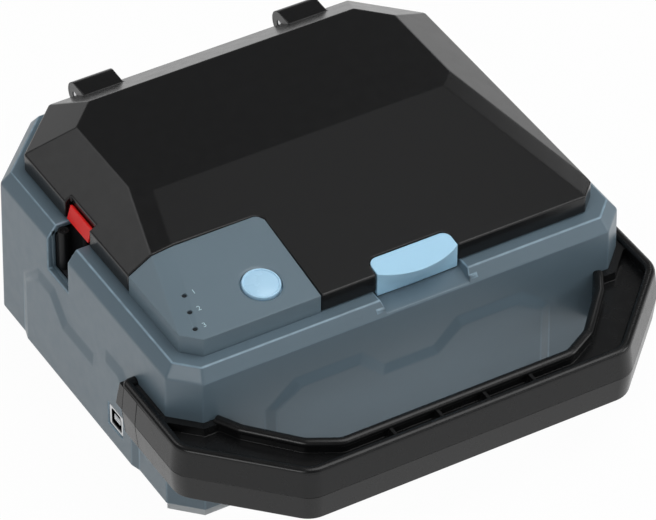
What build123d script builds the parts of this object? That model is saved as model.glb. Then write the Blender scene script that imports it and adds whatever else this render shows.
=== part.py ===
from build123d import *
import os
from math import atan2, cos, degrees, hypot, pi, radians, sin, sqrt, tan

# Desktop cable label printer: a case with cut corners, a hinged faceted lid,
# a fixed carrying handle, and the tape, ribbon, print and cutter units inside.
# Millimetres, +Z up, origin on the table under the middle of the whole outline.

os.makedirs("parts", exist_ok=True)

# Case, in plan an oblong with its corners cut at 45 degrees
body_width = 249.6          # across the side walls, at the lower edge of the bevel
body_depth = 214.8          # front wall to back wall, at the same height
front_corner = 12.9         # cut of the two front corners
back_corner = 35.0          # cut of the two back corners
wall_draft = 1.2            # the walls lean out by this much at the bottom
wall = 3.0                  # thickness of the case walls
deck_thick = 3.0            # thickness of the deck under the lid
foot_height = 4.0
wall_height = 78.0          # bottom of the case to the bevel
bevel_height = 6.4
bevel_run = 4.9             # how far the bevel goes in over its height
deck_ledge = 6.3            # deck left bare outside the lid

# Lid
lid_gap = 0.5               # lid skirt above the deck
skirt_height = 9.8
crown_height = 14.4         # lid edge up to the flat top
lid_front_corner = 8.6
lid_back_corner = 28.6
crown_side_run = 23.9       # lid edge in to the flat top, at each side
crown_front_run = 92.9
crown_back_run = 23.8
crown_front_corner = 8.8
crown_back_corner = 15.1
lid_wall = 2.4
liner_inset = 6.0
liner_drop = 4.0
liner_thick = 1.6
liner_rim = 3.0
liner_screw_half = 62.0
liner_screw_reaches = (116.0, 168.0)

# Control panel, a pod on the deck whose top carries the lid's facets on
panel_side = -42.0          # its right edge
panel_back = 68.5           # its back edge, from the front wall
panel_round = 5.0           # rounding of the corner between the two
panel_gap = 0.6             # gap between panel and lid
panel_wall = 2.2
button_x = -63.6
button_reach = 29.8         # button from the front wall
button_radius = 9.9
button_gap = 0.25
button_proud = 1.3          # the dome's height over the panel
button_travel = 0.8
button_rim = 0.3
button_lip = 1.3
button_flange = 1.2
switch_half = 3.0
switch_gap = 0.35
lamp_height = 0.9
pipe_sink = 0.7
panel_board_rise = 2.6
panel_board_margin = 2.0
panel_board_reach = 54.0
dish_width = 1.6            # sloping ring round the button
dish_depth = 0.6
pipe_radius = 1.2           # light pipes
pipe_gap = 0.08
pipe_pitch = 10.1
pipe_count = 3
pipe_x = -105.2             # the front light pipe
pipe_reach = 19.0
pipe_slant = 2.75           # each next pipe stands this much further right

# Hinges
hinge_x = 58.0
hinge_width = 22.3
hinge_lug_width = 11.6
hinge_reach = 206.3         # axis, from the front wall
hinge_radius = 7.0
hinge_lug_radius = 5.0
hinge_clearance = 0.9       # knuckle above the deck
hinge_pin_radius = 2.0
hinge_cover_angle = 46.0    # back edge of the knuckle's cover above the axis
lug_neck_width = 5.4

# Latch and its finger recess
latch_x = 10.9
latch_width = 44.2
latch_depth = 9.9           # front face to back edge
latch_bulge = 6.2           # the lip's reach in front of its corners
latch_round = 4.6
latch_gap = 0.6             # at each side
latch_back_gap = 0.9
latch_drop = 2.9            # tongue below the deck
latch_tongue = 2.4
latch_pin_radius = 1.25
latch_pin_back = 7.9        # pin behind the front face
latch_pin_drop = 3.2        # pin under the lid's surface
hook_width = 11.0
hook_thick = 2.0
hook_back = 4.0             # hook behind the front face
hook_nose = 2.1
hook_nose_height = 2.5
recess_width = 48.4         # at the deck
recess_slant = 1.5          # each side slopes in this much
recess_floor_front = 82.7
recess_back = 15.0
catch_thick = 2.0
catch_gap = 0.35
notch_wall = 1.6
coil_radius = 1.9
coil_length = 4.0

# Raised plates on the walls
relief_rise = 1.6
relief_band = 5.4           # width of the sloping band round a plate
front_relief_half = 79.0
front_relief_top = 65.2
side_relief_half = 59.0
side_relief_top = 56.2
side_relief_reach = 98.0    # its middle, from the front wall
relief_corner = 13.0        # drop of the outer corners
relief_shoulder = 16.0
relief_dip = 12.3
relief_dip_half = 13.3
relief_dip_run = 13.0

# Exit slot in the left wall
slot_reach = 120.5
slot_width = 20.6
slot_floor = 63.2
slot_depth = 20.0

# Handle: two moulded shells that meet at a parting line
handle_reach = 59.6
handle_stand_off = 9.4      # outer face of the arms, from the side wall
handle_corner = 46.7
handle_round = 14.0
handle_part_z = 46.0
handle_up = 15.3
handle_down = 14.6
handle_draft = 1.6
handle_arm_end = 46.0       # end of the arms, from the front wall
lower_arm_end = 39.9        # the lower shell's arms stop short of the upper shell's
handle_fit = 0.15           # clearance to the case
grip_reach = 42.0           # inner edge of the front bar
grip_half = 62.0
grip_corner_half = 76.5
grip_corner_reach = 34.0
grip_side_half = 97.0
grip_side_reach = 11.5
grip_root_half = 103.5
grip_round = 6.0
handle_rim = 4.4
pocket_depth = 7.0
pocket_end = 8.0
handle_rib_pitch = 25.5
handle_rib_count = 4
handle_rib = 1.6
handle_rib_drop = 1.4
cover_thick = 1.6           # inlaid covers on the arms
cover_start = 27.0
cover_end = 39.7
cover_gap = 0.15

# Feet
foot_inset = 1.0
foot_front_length = 36.0
foot_back_length = 56.0
foot_depth = 14.0

# Sockets
usb_reach = 60.2
usb_z = 20.7
usb_width = 12.0
usb_height = 11.0
usb_length = 16.0
usb_skin = 0.6
usb_recess_margin = 1.1
usb_recess_depth = 1.4
usb_tongue_width = 5.6
usb_tongue_height = 3.2
usb_fit = 0.2
inlet_x = -62.0
inlet_z = 20.7
inlet_width = 9.0
inlet_height = 11.0
inlet_length = 14.0
inlet_bore = 3.2
inlet_bore_length = 10.0
inlet_pin = 1.0

# Bay under the lid and the tray that lines it
bay_half_width = 106.0
bay_front = 28.0
bay_back = 194.0
bay_front_cut = 8.0
bay_back_cut = 27.0
bay_panel_side = -34.6
bay_panel_back = 76.0
tray_fit = 0.4
tray_wall = 2.2
tray_flange = 3.4
tray_flange_thick = 2.0
tray_floor_z = 62.5
tray_floor = 2.5

# Print unit
platen_x = -62.0
platen_radius = 8.0
tape_gap = 0.35             # head to platen, with tape and ribbon between
platen_behind = 0.7         # platen face behind the tape line
shaft_radius = 2.5
running = 0.05              # radial clearance of a running fit
unit_low = 64.5             # bottom of rollers and head
unit_top = 86.0
bush_radius = 4.5
bush_flange = 6.0
bush_flange_thick = 1.5
head_width = 16.0
head_depth = 10.6
head_nose = 1.25            # ridge in front of the head's block
head_ridge = 1.5
arm_thick = 3.0
arm_pivot_offset = 1.5      # pivot behind the arm's back face
arm_length = 36.0
arm_pivot_x = -80.0
arm_boss = 4.5
pivot_radius = 2.0
head_spring_radius = 3.6
head_spring_height = 3.5
contact_gap = 0.3

# Gear train under the tray
module = 0.8
platen_teeth = 30
idler_teeth = 40
second_teeth = 28
take_up_teeth = 24
pinion_teeth = 15
pressure_angle = 20.0
addendum = 0.85             # in modules
dedendum = 1.1
backlash = 0.16
flank_steps = 4
hub_radius = 3.6
gear_thick = 5.0
gear_low = 53.0
idler_bearing = -10.0       # direction from the platen to the large idler
pinion_bearing = 62.0       # direction from the large idler to the motor pinion
post_radius = 2.0
plate_top = 51.5
plate_thick = 1.5
plate_margin = 6.0
spacer_radius = 3.0
motor_radius = 17.5
motor_height = 22.0
motor_boss = 5.0
motor_shaft = 1.5
motor_shaft_depth = 18.0
spacer_places = ((-80.0, 129.0), (-30.0, 80.0), (4.0, 78.0), (-4.0, 152.0), (-44.0, 152.0))

# Ribbon cassette
cassette_x = 10.0
cassette_width = 80.0
cassette_front = 35.0
cassette_depth = 69.0
cassette_top = 88.0
cassette_wall = 1.6
take_up_x = -12.0
take_up_reach = 86.0
supply_x = 28.0
supply_reach = 58.0
take_up_film = 13.0
supply_film = 17.0
supply_post_radius = 3.9
cassette_cut = 9.0
spool_core = 6.5
spool_gap = 2.0             # film to the cassette's pocket wall
spindle_radius = 4.0

# Label roll
roll_x = 52.0
roll_reach = 148.0
roll_radius = 36.0
core_radius = 14.0
core_bore = 12.7
roll_spindle = 12.4
holder_radius = 40.0
holder_wall = 1.8
holder_height = 21.0
holder_floor = 2.0

# Cutter
cutter_x = -97.5            # line of the cut
blade_thick = 1.0
blade_gap = 0.1
carriage_left = -101.0
carriage_start = 79.2
rack_end = 98.0
holder_start = 108.0
holder_end = 116.0
fixed_blade_thick = 3.4
fixed_blade_reach = 121.6
fixed_blade_depth = 9.4
guide_start = 99.0
guide_end = 106.0
guide_wall = 1.5
guide_room = 0.9            # rack teeth to the guide
blade_length = 2.6          # blade edge beyond its holder
cutter_travel = 6.5
rack_top = 69.0
cutter_pinion_low = 64.0
cutter_shaft = 1.0
cutter_teeth = 12
cutter_motor_radius = 8.0
cutter_motor_height = 18.0
cutter_pinion_reach = 90.0

# Exit parts
roller_radius = 2.8
roller_x = -117.4
roller_reach = 127.8
roller_low = 64.0
roller_top = 86.5
roller_pin_radius = 1.5
chute_wall = 2.2
chute_end = -119.6
chute_half = 10.6
exit_half = 10.4            # half the tray's exit notch
guard_width = 21.4
guard_thick = 1.4
guard_low = 89.7
guard_high = 97.2
guard_lean = 2.0
guard_foot_width = 30.0
guard_foot_thick = 1.8
guard_foot_inner = -104.5
notch_width = 25.0
notch_inner = -109.9
notch_top = 101.2

# Boards and battery
board_z = 13.6
board_thick = 1.6
board_half = 41.0
board_x = -80.0
board_front = 38.0
board_back = 208.0
board_margin = 2.5
board_post_radius = 2.0
board_post_places = ((-116.0, 43.0), (-44.0, 43.0), (-116.0, 150.0), (-44.0, 200.0))
base_thick = 2.5
base_gap = 0.3
boss_radius = 4.2
wire_hole = 12.0
boss_x = 110.6
boss_front = 27.0
boss_back = 166.0
screw_radius = 1.5
screw_head = 2.8
screw_head_height = 1.8
screw_gap = 0.05
screw_length = 20.0
handle_screw_reach = 20.0
handle_screw_offset = 7.5
handle_screw_bite = 9.0
tray_screw_radius = 1.0
tray_screw_head = 1.6
tray_screw_length = 4.5
tray_screw_inset = 1.7
tray_screw_reaches = (62.0, 150.0)
panel_screw_margin = 10.0   # right screw, from the panel's right edge
panel_screw_inset = 19.6    # left screw, from the lid's left edge
panel_screw_reach = 60.0
battery_width = 74.0
battery_depth = 42.0
battery_height = 20.0
battery_x = 62.0
battery_reach = 150.0

# Levels and places worked out from the sizes above
base_z = foot_height
bevel_z = base_z + wall_height
deck_z = bevel_z + bevel_height
skirt_z = deck_z + lid_gap
eave_z = skirt_z + skirt_height
crown_z = eave_z + crown_height
front = -(body_depth + wall_draft - handle_reach) / 2
back = front + body_depth
deck_under = deck_z - deck_thick
handle_half_width = body_width / 2 + handle_stand_off

# A plan is (half width, front y, back y, front corner cut, back corner cut)
wall_plan = (body_width / 2, front, back, front_corner, back_corner)


def inset(plan, by):
    """The same plan with every side moved in by one distance."""
    half, y_front, y_back, front_cut, back_cut = plan
    less = by * (2 - sqrt(2))
    return (half - by, y_front + by, y_back - by, front_cut - less, back_cut - less)


def corners(plan):
    """The eight corners of a plan, anticlockwise from the left end of the front."""
    half, y_front, y_back, front_cut, back_cut = plan
    right = [
        (half - front_cut, y_front),
        (half, y_front + front_cut),
        (half, y_back - back_cut),
        (half - back_cut, y_back),
    ]
    left = [(-x, y) for x, y in reversed(right)]
    return right + left


def plan_face(plan, z):
    """A flat face with the outline of a plan at height z."""
    with BuildSketch(Plane.XY.offset(z)) as face:
        Polygon(*corners(plan), align=None)
    return face.sketch


base_plan = inset(wall_plan, -wall_draft)
crest_plan = inset(wall_plan, bevel_run)
skirt_half = crest_plan[0] - deck_ledge
skirt_front = crest_plan[1] + deck_ledge
skirt_back = crest_plan[2] - deck_ledge
skirt_plan = (skirt_half, skirt_front, skirt_back, lid_front_corner, lid_back_corner)
crown_plan = (
    skirt_half - crown_side_run,
    skirt_front + crown_front_run,
    skirt_back - crown_back_run,
    crown_front_corner,
    crown_back_corner,
)
front_slope = crown_height / crown_front_run


def slope_z(y):
    """Height of the lid's long front slope at a place y."""
    return eave_z + (y - skirt_front) * front_slope


def lid_block(by, low):
    """The lid's form down to height low, with every face moved in by one distance."""
    eave = plan_face(inset(skirt_plan, by), eave_z - by)
    crown = plan_face(inset(crown_plan, by), crown_z - by)
    with BuildPart() as block:
        loft(sections=[eave, crown], ruled=True)
        extrude(plan_face(inset(skirt_plan, by), low), amount=eave_z - by - low)
    return block.part


def panel_region(grow, low, high):
    """The upright block over the panel's place, grown on its two inner sides."""
    x0 = -body_width
    y0 = front - handle_reach
    x1 = panel_side + grow
    y1 = front + panel_back + grow
    with BuildPart() as region:
        with BuildSketch(Plane.XY.offset(low)) as outline:
            with Locations(((x0 + x1) / 2, (y0 + y1) / 2)):
                Rectangle(x1 - x0, y1 - y0)
            inner_corner = outline.vertices().group_by(Axis.X)[-1].sort_by(Axis.Y)[-1]
            fillet(inner_corner, panel_round + grow)
        extrude(amount=high - low)
    return region.part


def box_between(x0, x1, y0, y1, z0, z1):
    """A plain block between two opposite corners."""
    with BuildPart() as block:
        with Locations(((x0 + x1) / 2, (y0 + y1) / 2, (z0 + z1) / 2)):
            Box(abs(x1 - x0), abs(y1 - y0), abs(z1 - z0))
    return block.part


def rod(x, y, radius, z0, z1):
    """An upright round rod."""
    with BuildPart() as bar:
        with Locations((x, y, (z0 + z1) / 2)):
            Cylinder(radius, z1 - z0)
    return bar.part


# Case shell: one moulding with walls, bevel, deck, bosses and hinge lugs
hinge_y = front + hinge_reach
hinge_z = deck_z + hinge_clearance + hinge_radius
slot_y = front + slot_reach
recess_back_y = front + recess_back
usb_y = front + usb_reach
boss_places = [(side * boss_x, front + reach) for side in (-1, 1) for reach in (boss_front, boss_back)]
screw_bore = screw_radius + screw_gap
tray_screw_x = bay_half_width + tray_screw_inset
tray_screw_places = [(side * tray_screw_x, front + reach) for side in (-1, 1) for reach in tray_screw_reaches
                     if side > 0 or reach > bay_panel_back]
panel_screw_places = [(x, front + panel_screw_reach)
                      for x in (panel_side - panel_screw_margin, panel_screw_inset - skirt_half)]
liner_places = [(side * liner_screw_half, front + reach) for side in (-1, 1) for reach in liner_screw_reaches]


def bay_face(grow, z):
    """Outline of the opening in the deck, grown outwards."""
    bay_plan = (bay_half_width, front + bay_front, front + bay_back, bay_front_cut, bay_back_cut)
    x0 = -body_width
    x1 = bay_panel_side - grow
    y0 = front
    y1 = front + bay_panel_back - grow
    with BuildSketch(Plane.XY.offset(z)) as face:
        Polygon(*corners(inset(bay_plan, -grow)), align=None)
        with Locations(((x0 + x1) / 2, (y0 + y1) / 2)):
            Rectangle(x1 - x0, y1 - y0, mode=Mode.SUBTRACT)
    return face.sketch


def relief_points(half, top, grow):
    """Right half of a raised plate's outline as (along, height), then its mirror."""
    slope = relief_corner / relief_shoulder
    low = base_z - bevel_z - relief_band
    shoulder = half - relief_shoulder
    dip_end = relief_dip_half + relief_dip_run
    steep = relief_dip / relief_dip_run
    side_shift = grow * (sqrt(1 + slope * slope) - 1) / slope
    crest_shift = grow * (sqrt(1 + slope * slope) - slope - 1) / slope
    dip_shift = grow * (sqrt(1 + steep * steep) - 1) / steep
    level = top - bevel_z - grow
    right = [
        (half - grow, low),
        (half - grow, top - relief_corner - bevel_z - side_shift),
        (shoulder + crest_shift, level),
        (dip_end + dip_shift, level),
        (relief_dip_half + dip_shift, level - relief_dip),
    ]
    return right + [(-along, height) for along, height in reversed(right)]


def relief_plate(half, top, plane):
    """A raised plate with a sloping band, standing on a wall's plane."""
    with BuildPart() as plate:
        with BuildSketch(plane.offset(-relief_rise / 2)) as foot:
            Polygon(*relief_points(half, top, -relief_band / 2), align=None)
        with BuildSketch(plane.offset(relief_rise)) as face:
            Polygon(*relief_points(half, top, relief_band), align=None)
        loft(sections=[foot.sketch, face.sketch], ruled=True)
        add(box_between(-body_width, body_width, -body_depth, body_depth, -wall_height, base_z),
            mode=Mode.SUBTRACT)
    return plate.part


lean = wall_draft / hypot(wall_height, wall_draft)
upright = wall_height / hypot(wall_height, wall_draft)
front_wall_plane = Plane((0, front, bevel_z), x_dir=(1, 0, 0), z_dir=(0, -upright, lean))
left_wall_plane = Plane((-body_width / 2, front + side_relief_reach, bevel_z), x_dir=(0, -1, 0),
                        z_dir=(-upright, 0, lean))
right_wall_plane = Plane((body_width / 2, front + side_relief_reach, bevel_z), x_dir=(0, 1, 0),
                         z_dir=(upright, 0, lean))

with BuildPart() as case_form:
    loft(sections=[plan_face(base_plan, base_z), plan_face(wall_plan, bevel_z)], ruled=True)
    loft(sections=[plan_face(wall_plan, bevel_z), plan_face(crest_plan, deck_z)], ruled=True)
    add(relief_plate(front_relief_half, front_relief_top, front_wall_plane))
    add(relief_plate(side_relief_half, side_relief_top, left_wall_plane))
    add(relief_plate(side_relief_half, side_relief_top, right_wall_plane))

with BuildPart() as case_hollow:
    hollow_top = inset(crest_plan, wall)
    hollow_wall = inset(wall_plan, wall)
    loft(sections=[plan_face(inset(base_plan, wall), base_z), plan_face(hollow_wall, bevel_z)], ruled=True)
    loft(sections=[plan_face(hollow_wall, bevel_z), plan_face(hollow_top, deck_under)], ruled=True)

with BuildPart() as hinge_lugs:
    with Locations((0, hinge_y, hinge_z)):
        Cylinder(hinge_lug_radius, hinge_lug_width, rotation=(0, 90, 0))
    neck_top = hinge_z - hinge_pin_radius
    add(box_between(-hinge_lug_width / 2, hinge_lug_width / 2, hinge_y - lug_neck_width / 2,
                    hinge_y + lug_neck_width / 2, deck_under, neck_top))
    with Locations((0, hinge_y, hinge_z)):
        Cylinder(hinge_pin_radius, hinge_lug_width, rotation=(0, 90, 0), mode=Mode.SUBTRACT)

tongue_bottom = deck_z - latch_drop
recess_floor_back = tongue_bottom - latch_gap
recess_front_y = front - wall
recess_middle = (recess_front_y + recess_back_y) / 2
floor_slope = (recess_floor_back - recess_floor_front) / recess_back
recess_low = recess_floor_front - wall * floor_slope
recess_high = deck_z + lid_gap
with BuildPart() as recess_cut:
    with BuildSketch(Plane.XY.offset(recess_low)):
        with Locations((latch_x, recess_middle)):
            Rectangle(recess_width - 2 * recess_slant, recess_back_y - recess_front_y)
    with BuildSketch(Plane.XY.offset(recess_high)):
        with Locations((latch_x, recess_middle)):
            Rectangle(recess_width, recess_back_y - recess_front_y)
    loft(ruled=True)
    with BuildSketch(Plane((latch_x, 0, 0), x_dir=(0, 1, 0), z_dir=(1, 0, 0))):
        Polygon((recess_front_y, recess_low), (recess_back_y, recess_floor_back),
                (recess_back_y, recess_high), (recess_front_y, recess_high), align=None)
    extrude(amount=recess_width, both=True, mode=Mode.INTERSECT)

with BuildPart() as case_shell:
    add(case_form.part)
    add(case_hollow.part, mode=Mode.SUBTRACT)
    for x, y in boss_places:
        add(rod(x, y, boss_radius, base_z + base_thick, deck_under))
        add(rod(x, y, screw_bore, base_z, bevel_z - wall), mode=Mode.SUBTRACT)
    add(box_between(latch_x - recess_width / 2 - wall, latch_x + recess_width / 2 + wall, front + wall / 2,
                    recess_back_y + wall, recess_floor_front - wall, deck_under))
    add(recess_cut.part, mode=Mode.SUBTRACT)
    hook_front = front + deck_ledge + bevel_run + hook_back
    hook_slot_front = hook_front - hook_thick * 1.5
    hook_slot_back = hook_front + hook_thick + hook_nose + catch_gap
    add(box_between(latch_x - hook_width / 2 - latch_gap, latch_x + hook_width / 2 + latch_gap,
                    hook_slot_front,
                    hook_slot_back, bevel_z - deck_ledge, deck_z + lid_gap), mode=Mode.SUBTRACT)
    extrude(bay_face(0, deck_under - lid_gap), amount=deck_thick + 2 * lid_gap, mode=Mode.SUBTRACT)
    add(box_between(-body_width, -body_width / 2 + slot_depth, slot_y - slot_width / 2,
                    slot_y + slot_width / 2, slot_floor, deck_z + lid_gap), mode=Mode.SUBTRACT)
    for side in (-1, 1):
        add(hinge_lugs.part.moved(Location((side * hinge_x, 0, 0))))
    usb_face_x = -body_width / 2 - wall_draft * (bevel_z - usb_z) / wall_height - relief_rise
    usb_inner_x = usb_face_x + usb_recess_depth
    add(box_between(-body_width, usb_inner_x, usb_y - usb_width / 2 - usb_recess_margin,
                    usb_y + usb_width / 2 + usb_recess_margin, usb_z - usb_height / 2 - usb_recess_margin,
                    usb_z + usb_height / 2 + usb_recess_margin), mode=Mode.SUBTRACT)
    add(box_between(-body_width, -body_width / 2 + wall, usb_y - usb_width / 2 - usb_fit,
                    usb_y + usb_width / 2 + usb_fit, usb_z - usb_height / 2 - usb_fit,
                    usb_z + usb_height / 2 + usb_fit), mode=Mode.SUBTRACT)
    add(box_between(inlet_x - inlet_width / 2 - usb_fit, inlet_x + inlet_width / 2 + usb_fit,
                    back - wall - wall_draft, back + body_depth, inlet_z - inlet_height / 2 - usb_fit,
                    inlet_z + inlet_height / 2 + usb_fit), mode=Mode.SUBTRACT)
    handle_screw_y = front + handle_screw_reach
    handle_screw_levels = [handle_part_z + side * handle_screw_offset for side in (-1, 1)]
    for z in handle_screw_levels:
        for side in (-1, 1):
            with Locations((side * body_width / 2, handle_screw_y, z)):
                Cylinder(screw_bore, 4 * wall, rotation=(0, 90, 0), mode=Mode.SUBTRACT)
    for x, y in tray_screw_places:
        add(rod(x, y, tray_screw_radius + screw_gap, deck_under - lid_gap, deck_z + lid_gap),
            mode=Mode.SUBTRACT)
    for x, y in panel_screw_places:
        add(rod(x, y, screw_bore, deck_under - lid_gap, deck_z + lid_gap), mode=Mode.SUBTRACT)
    panel_mid_x = (panel_side - skirt_half) / 2
    add(box_between(panel_mid_x - wire_hole / 2, panel_mid_x + wire_hole / 2, front + panel_back - wire_hole,
                    front + panel_back - wire_hole / 2, deck_under - lid_gap, deck_z + lid_gap),
                    mode=Mode.SUBTRACT)

case_shell.part.label = "case_shell"
export_step(case_shell.part, "parts/case_shell.step")


# Base plate: closes the bottom of the case inside its walls
with BuildPart() as base_plate:
    extrude(plan_face(inset(base_plan, wall + base_gap), base_z), amount=base_thick)
    for x, reach in board_post_places:
        add(rod(x, front + reach, board_post_radius, base_z + base_thick, board_z))
    for x, y in boss_places:
        add(rod(x, y, screw_bore, base_z, base_z + base_thick), mode=Mode.SUBTRACT)
        add(rod(x, y, screw_head + running, base_z, base_z + base_thick / 2), mode=Mode.SUBTRACT)
    battery_y = front + battery_reach
    tub_x = battery_width / 2 + contact_gap + base_thick
    tub_y = battery_depth / 2 + contact_gap + base_thick
    tub_top = base_z + base_thick + battery_height / 2
    add(box_between(battery_x - tub_x, battery_x + tub_x, battery_y - tub_y, battery_y + tub_y,
                    base_z + base_thick, tub_top))
    add(box_between(battery_x - tub_x + base_thick, battery_x + tub_x - base_thick,
                    battery_y - tub_y + base_thick,
                    battery_y + tub_y - base_thick, base_z + base_thick, tub_top), mode=Mode.SUBTRACT)

base_plate.part.label = "base_plate"
export_step(base_plate.part, "parts/base_plate.step")

# Screws that hold the base plate, driven in from below
with BuildPart() as base_screws:
    for x, y in boss_places:
        add(rod(x, y, screw_head, base_z + screw_gap, base_z + base_thick / 2))
        add(rod(x, y, screw_radius, base_z + base_thick / 2, base_z + screw_length))

base_screws.part.label = "base_screws"
export_step(base_screws.part, "parts/base_screws.step")

# Four corner feet under the case
with BuildPart() as feet:
    foot_half = base_plan[0] - foot_inset
    extrude(plan_face(inset(base_plan, foot_inset), 0), amount=foot_height)
    extrude(plan_face(inset(base_plan, foot_inset + foot_depth), 0), amount=foot_height, mode=Mode.SUBTRACT)
    for y_end, sign, length in ((base_plan[1], 1, foot_front_length), (base_plan[2], -1, foot_back_length)):
        add(box_between(-foot_half + length, foot_half - length, y_end,
                        y_end + sign * (foot_inset + foot_depth), 0, foot_height), mode=Mode.SUBTRACT)
    front_foot_end = base_plan[1] + foot_inset + foot_depth
    back_foot_end = base_plan[2] - foot_inset - foot_depth * 2
    add(box_between(-body_width, body_width, front_foot_end, back_foot_end, 0, foot_height),
        mode=Mode.SUBTRACT)

feet.part.label = "feet"
export_step(feet.part, "parts/feet.step")


# Control panel: a hollow pod screwed to the deck, its roof in line with the lid
tilt = degrees(atan2(crown_height, crown_front_run))
button_y = front + button_reach
button_plane = Plane((button_x, button_y, slope_z(button_y)), x_dir=(1, 0, 0),
                     z_dir=(0, -sin(radians(tilt)), cos(radians(tilt))))
button_bore = button_radius + button_gap
pipe_places = [(pipe_x + i * pipe_slant, front + pipe_reach + i * pipe_pitch) for i in range(pipe_count)]
panel_board_z = deck_z + panel_board_rise
panel_board_top = panel_board_z + board_thick
panel_board_right = panel_side - panel_wall - panel_board_margin
panel_board_front = skirt_front + panel_wall + panel_board_margin
panel_board_back = front + panel_board_reach

with BuildPart() as pod_hollow:
    add(lid_block(panel_wall, deck_z))
    add(panel_region(-panel_wall, deck_z, crown_z), mode=Mode.INTERSECT)

with BuildPart() as control_panel:
    add(lid_block(0, deck_z))
    add(panel_region(0, deck_z, crown_z), mode=Mode.INTERSECT)
    add(pod_hollow.part, mode=Mode.SUBTRACT)
    for x, y in panel_screw_places:
        add(rod(x, y, screw_radius * 2, deck_z, slope_z(y) - panel_wall / 2))
        add(rod(x, y, screw_bore, deck_z, slope_z(y) - panel_wall * 2), mode=Mode.SUBTRACT)
    for x in (panel_board_right - board_thick, button_x - button_radius * 2):
        for y in (panel_board_front + board_thick, panel_board_back - board_thick):
            add(rod(x, y, board_thick, panel_board_top, slope_z(y) - panel_wall / 2))
    with Locations(button_plane):
        Cylinder(button_bore, 3 * panel_wall, mode=Mode.SUBTRACT)
    with Locations(button_plane.offset(-dish_depth / 2)):
        Cone(button_bore, button_bore + dish_width, dish_depth, mode=Mode.SUBTRACT)
    for x, y in pipe_places:
        add(rod(x, y, pipe_radius + pipe_gap, panel_board_top, crown_z), mode=Mode.SUBTRACT)

control_panel.part.label = "control_panel"
export_step(control_panel.part, "parts/control_panel.step")

# Power button: a shallow dome on a flange that the panel's roof keeps in
flange_top = panel_wall * (1 + front_slope) + contact_gap / 2
dome_rise = button_proud - button_rim
dome_sphere = (button_radius ** 2 + dome_rise ** 2) / (2 * dome_rise)
dome_half_height = sqrt(dome_sphere ** 2 - (button_radius / 2) ** 2) - (dome_sphere - dome_rise)
with BuildPart() as power_button:
    with BuildSketch(Plane(button_plane.origin, x_dir=(1, 0, 0), z_dir=-button_plane.y_dir)):
        with BuildLine():
            Polyline((0, button_proud), (0, -flange_top - button_flange), (button_radius + button_lip,
                     -flange_top - button_flange), (button_radius + button_lip, -flange_top),
                     (button_radius, -flange_top), (button_radius, button_rim))
            ThreePointArc((button_radius, button_rim), (button_radius / 2, button_rim + dome_half_height),
                          (0, button_proud))
        make_face()
    revolve(axis=Axis(button_plane.origin, button_plane.z_dir), revolution_arc=360)

power_button.part.label = "power_button"
export_step(power_button.part, "parts/power_button.step")

# Light pipes from the lamps on the panel board to the roof
with BuildPart() as light_pipes:
    for x, y in pipe_places:
        add(rod(x, y, pipe_radius, panel_board_top + lamp_height, slope_z(y) - pipe_sink))

light_pipes.part.label = "light_pipes"
export_step(light_pipes.part, "parts/light_pipes.step")

# Panel board with its three lamps, and the switch under the button
with BuildPart() as panel_board:
    add(box_between(-body_width, panel_board_right, panel_board_front, panel_board_back, panel_board_z,
                    panel_board_top))
    for x, y in pipe_places:
        add(box_between(x - pipe_radius, x + pipe_radius, y - pipe_radius, y + pipe_radius, panel_board_top,
                        panel_board_top + lamp_height))
    add(lid_block(panel_wall + panel_board_margin, deck_z), mode=Mode.INTERSECT)

panel_board.part.label = "panel_board"
export_step(panel_board.part, "parts/panel_board.step")

button_low = -flange_top - button_flange
button_centre = button_plane.origin + button_plane.z_dir * button_low
switch_top = button_centre.Z - button_travel - switch_gap
with BuildPart() as button_switch:
    add(box_between(button_centre.X - switch_half, button_centre.X + switch_half,
                    button_centre.Y - switch_half,
                    button_centre.Y + switch_half, panel_board_top, switch_top - switch_gap * 2))
    add(rod(button_centre.X, button_centre.Y, switch_half / 2, switch_top - switch_gap * 2, switch_top))

button_switch.part.label = "button_switch"
export_step(button_switch.part, "parts/button_switch.step")

with BuildPart() as panel_screws:
    for x, y in panel_screw_places:
        add(rod(x, y, screw_head, deck_under - screw_head_height, deck_under))
        add(rod(x, y, screw_radius, deck_under, deck_z + deck_thick * 2))

panel_screws.part.label = "panel_screws"
export_step(panel_screws.part, "parts/panel_screws.step")


# Lid: one faceted shell with two hinge knuckles, cut round the panel and the latch
def notch_face(grow, z):
    """Outline of the latch's notch in the lid's front edge, grown outwards."""
    x0 = latch_x - latch_width / 2 - latch_gap - grow
    x1 = latch_x + latch_width / 2 + latch_gap + grow
    y0 = front - handle_reach
    y1 = skirt_front + latch_depth + latch_back_gap + grow
    with BuildSketch(Plane.XY.offset(z)) as face:
        with Locations(((x0 + x1) / 2, (y0 + y1) / 2)):
            Rectangle(x1 - x0, y1 - y0)
        fillet(face.vertices().group_by(Axis.Y)[-1], latch_round + latch_gap + grow)
    return face.sketch


with BuildPart() as notch_block:
    extrude(notch_face(notch_wall, skirt_z), amount=crown_height + skirt_height)
    add(lid_block(0, skirt_z), mode=Mode.INTERSECT)

with BuildPart() as panel_block:
    add(panel_region(panel_gap + lid_wall, skirt_z, crown_z))
    add(lid_block(0, skirt_z), mode=Mode.INTERSECT)

half_hinge = hinge_width / 2
knuckle_top = hinge_z + hinge_radius
knuckle_front = skirt_back - (knuckle_top - eave_z) * crown_back_run / crown_height
lug_room = hinge_lug_radius + contact_gap
with BuildPart() as knuckle:
    with Locations((0, hinge_y, hinge_z)):
        Cylinder(hinge_radius, hinge_width, rotation=(0, 90, 0))
    add(box_between(-half_hinge, half_hinge, knuckle_front - lid_wall, hinge_y, hinge_z, knuckle_top))

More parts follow.
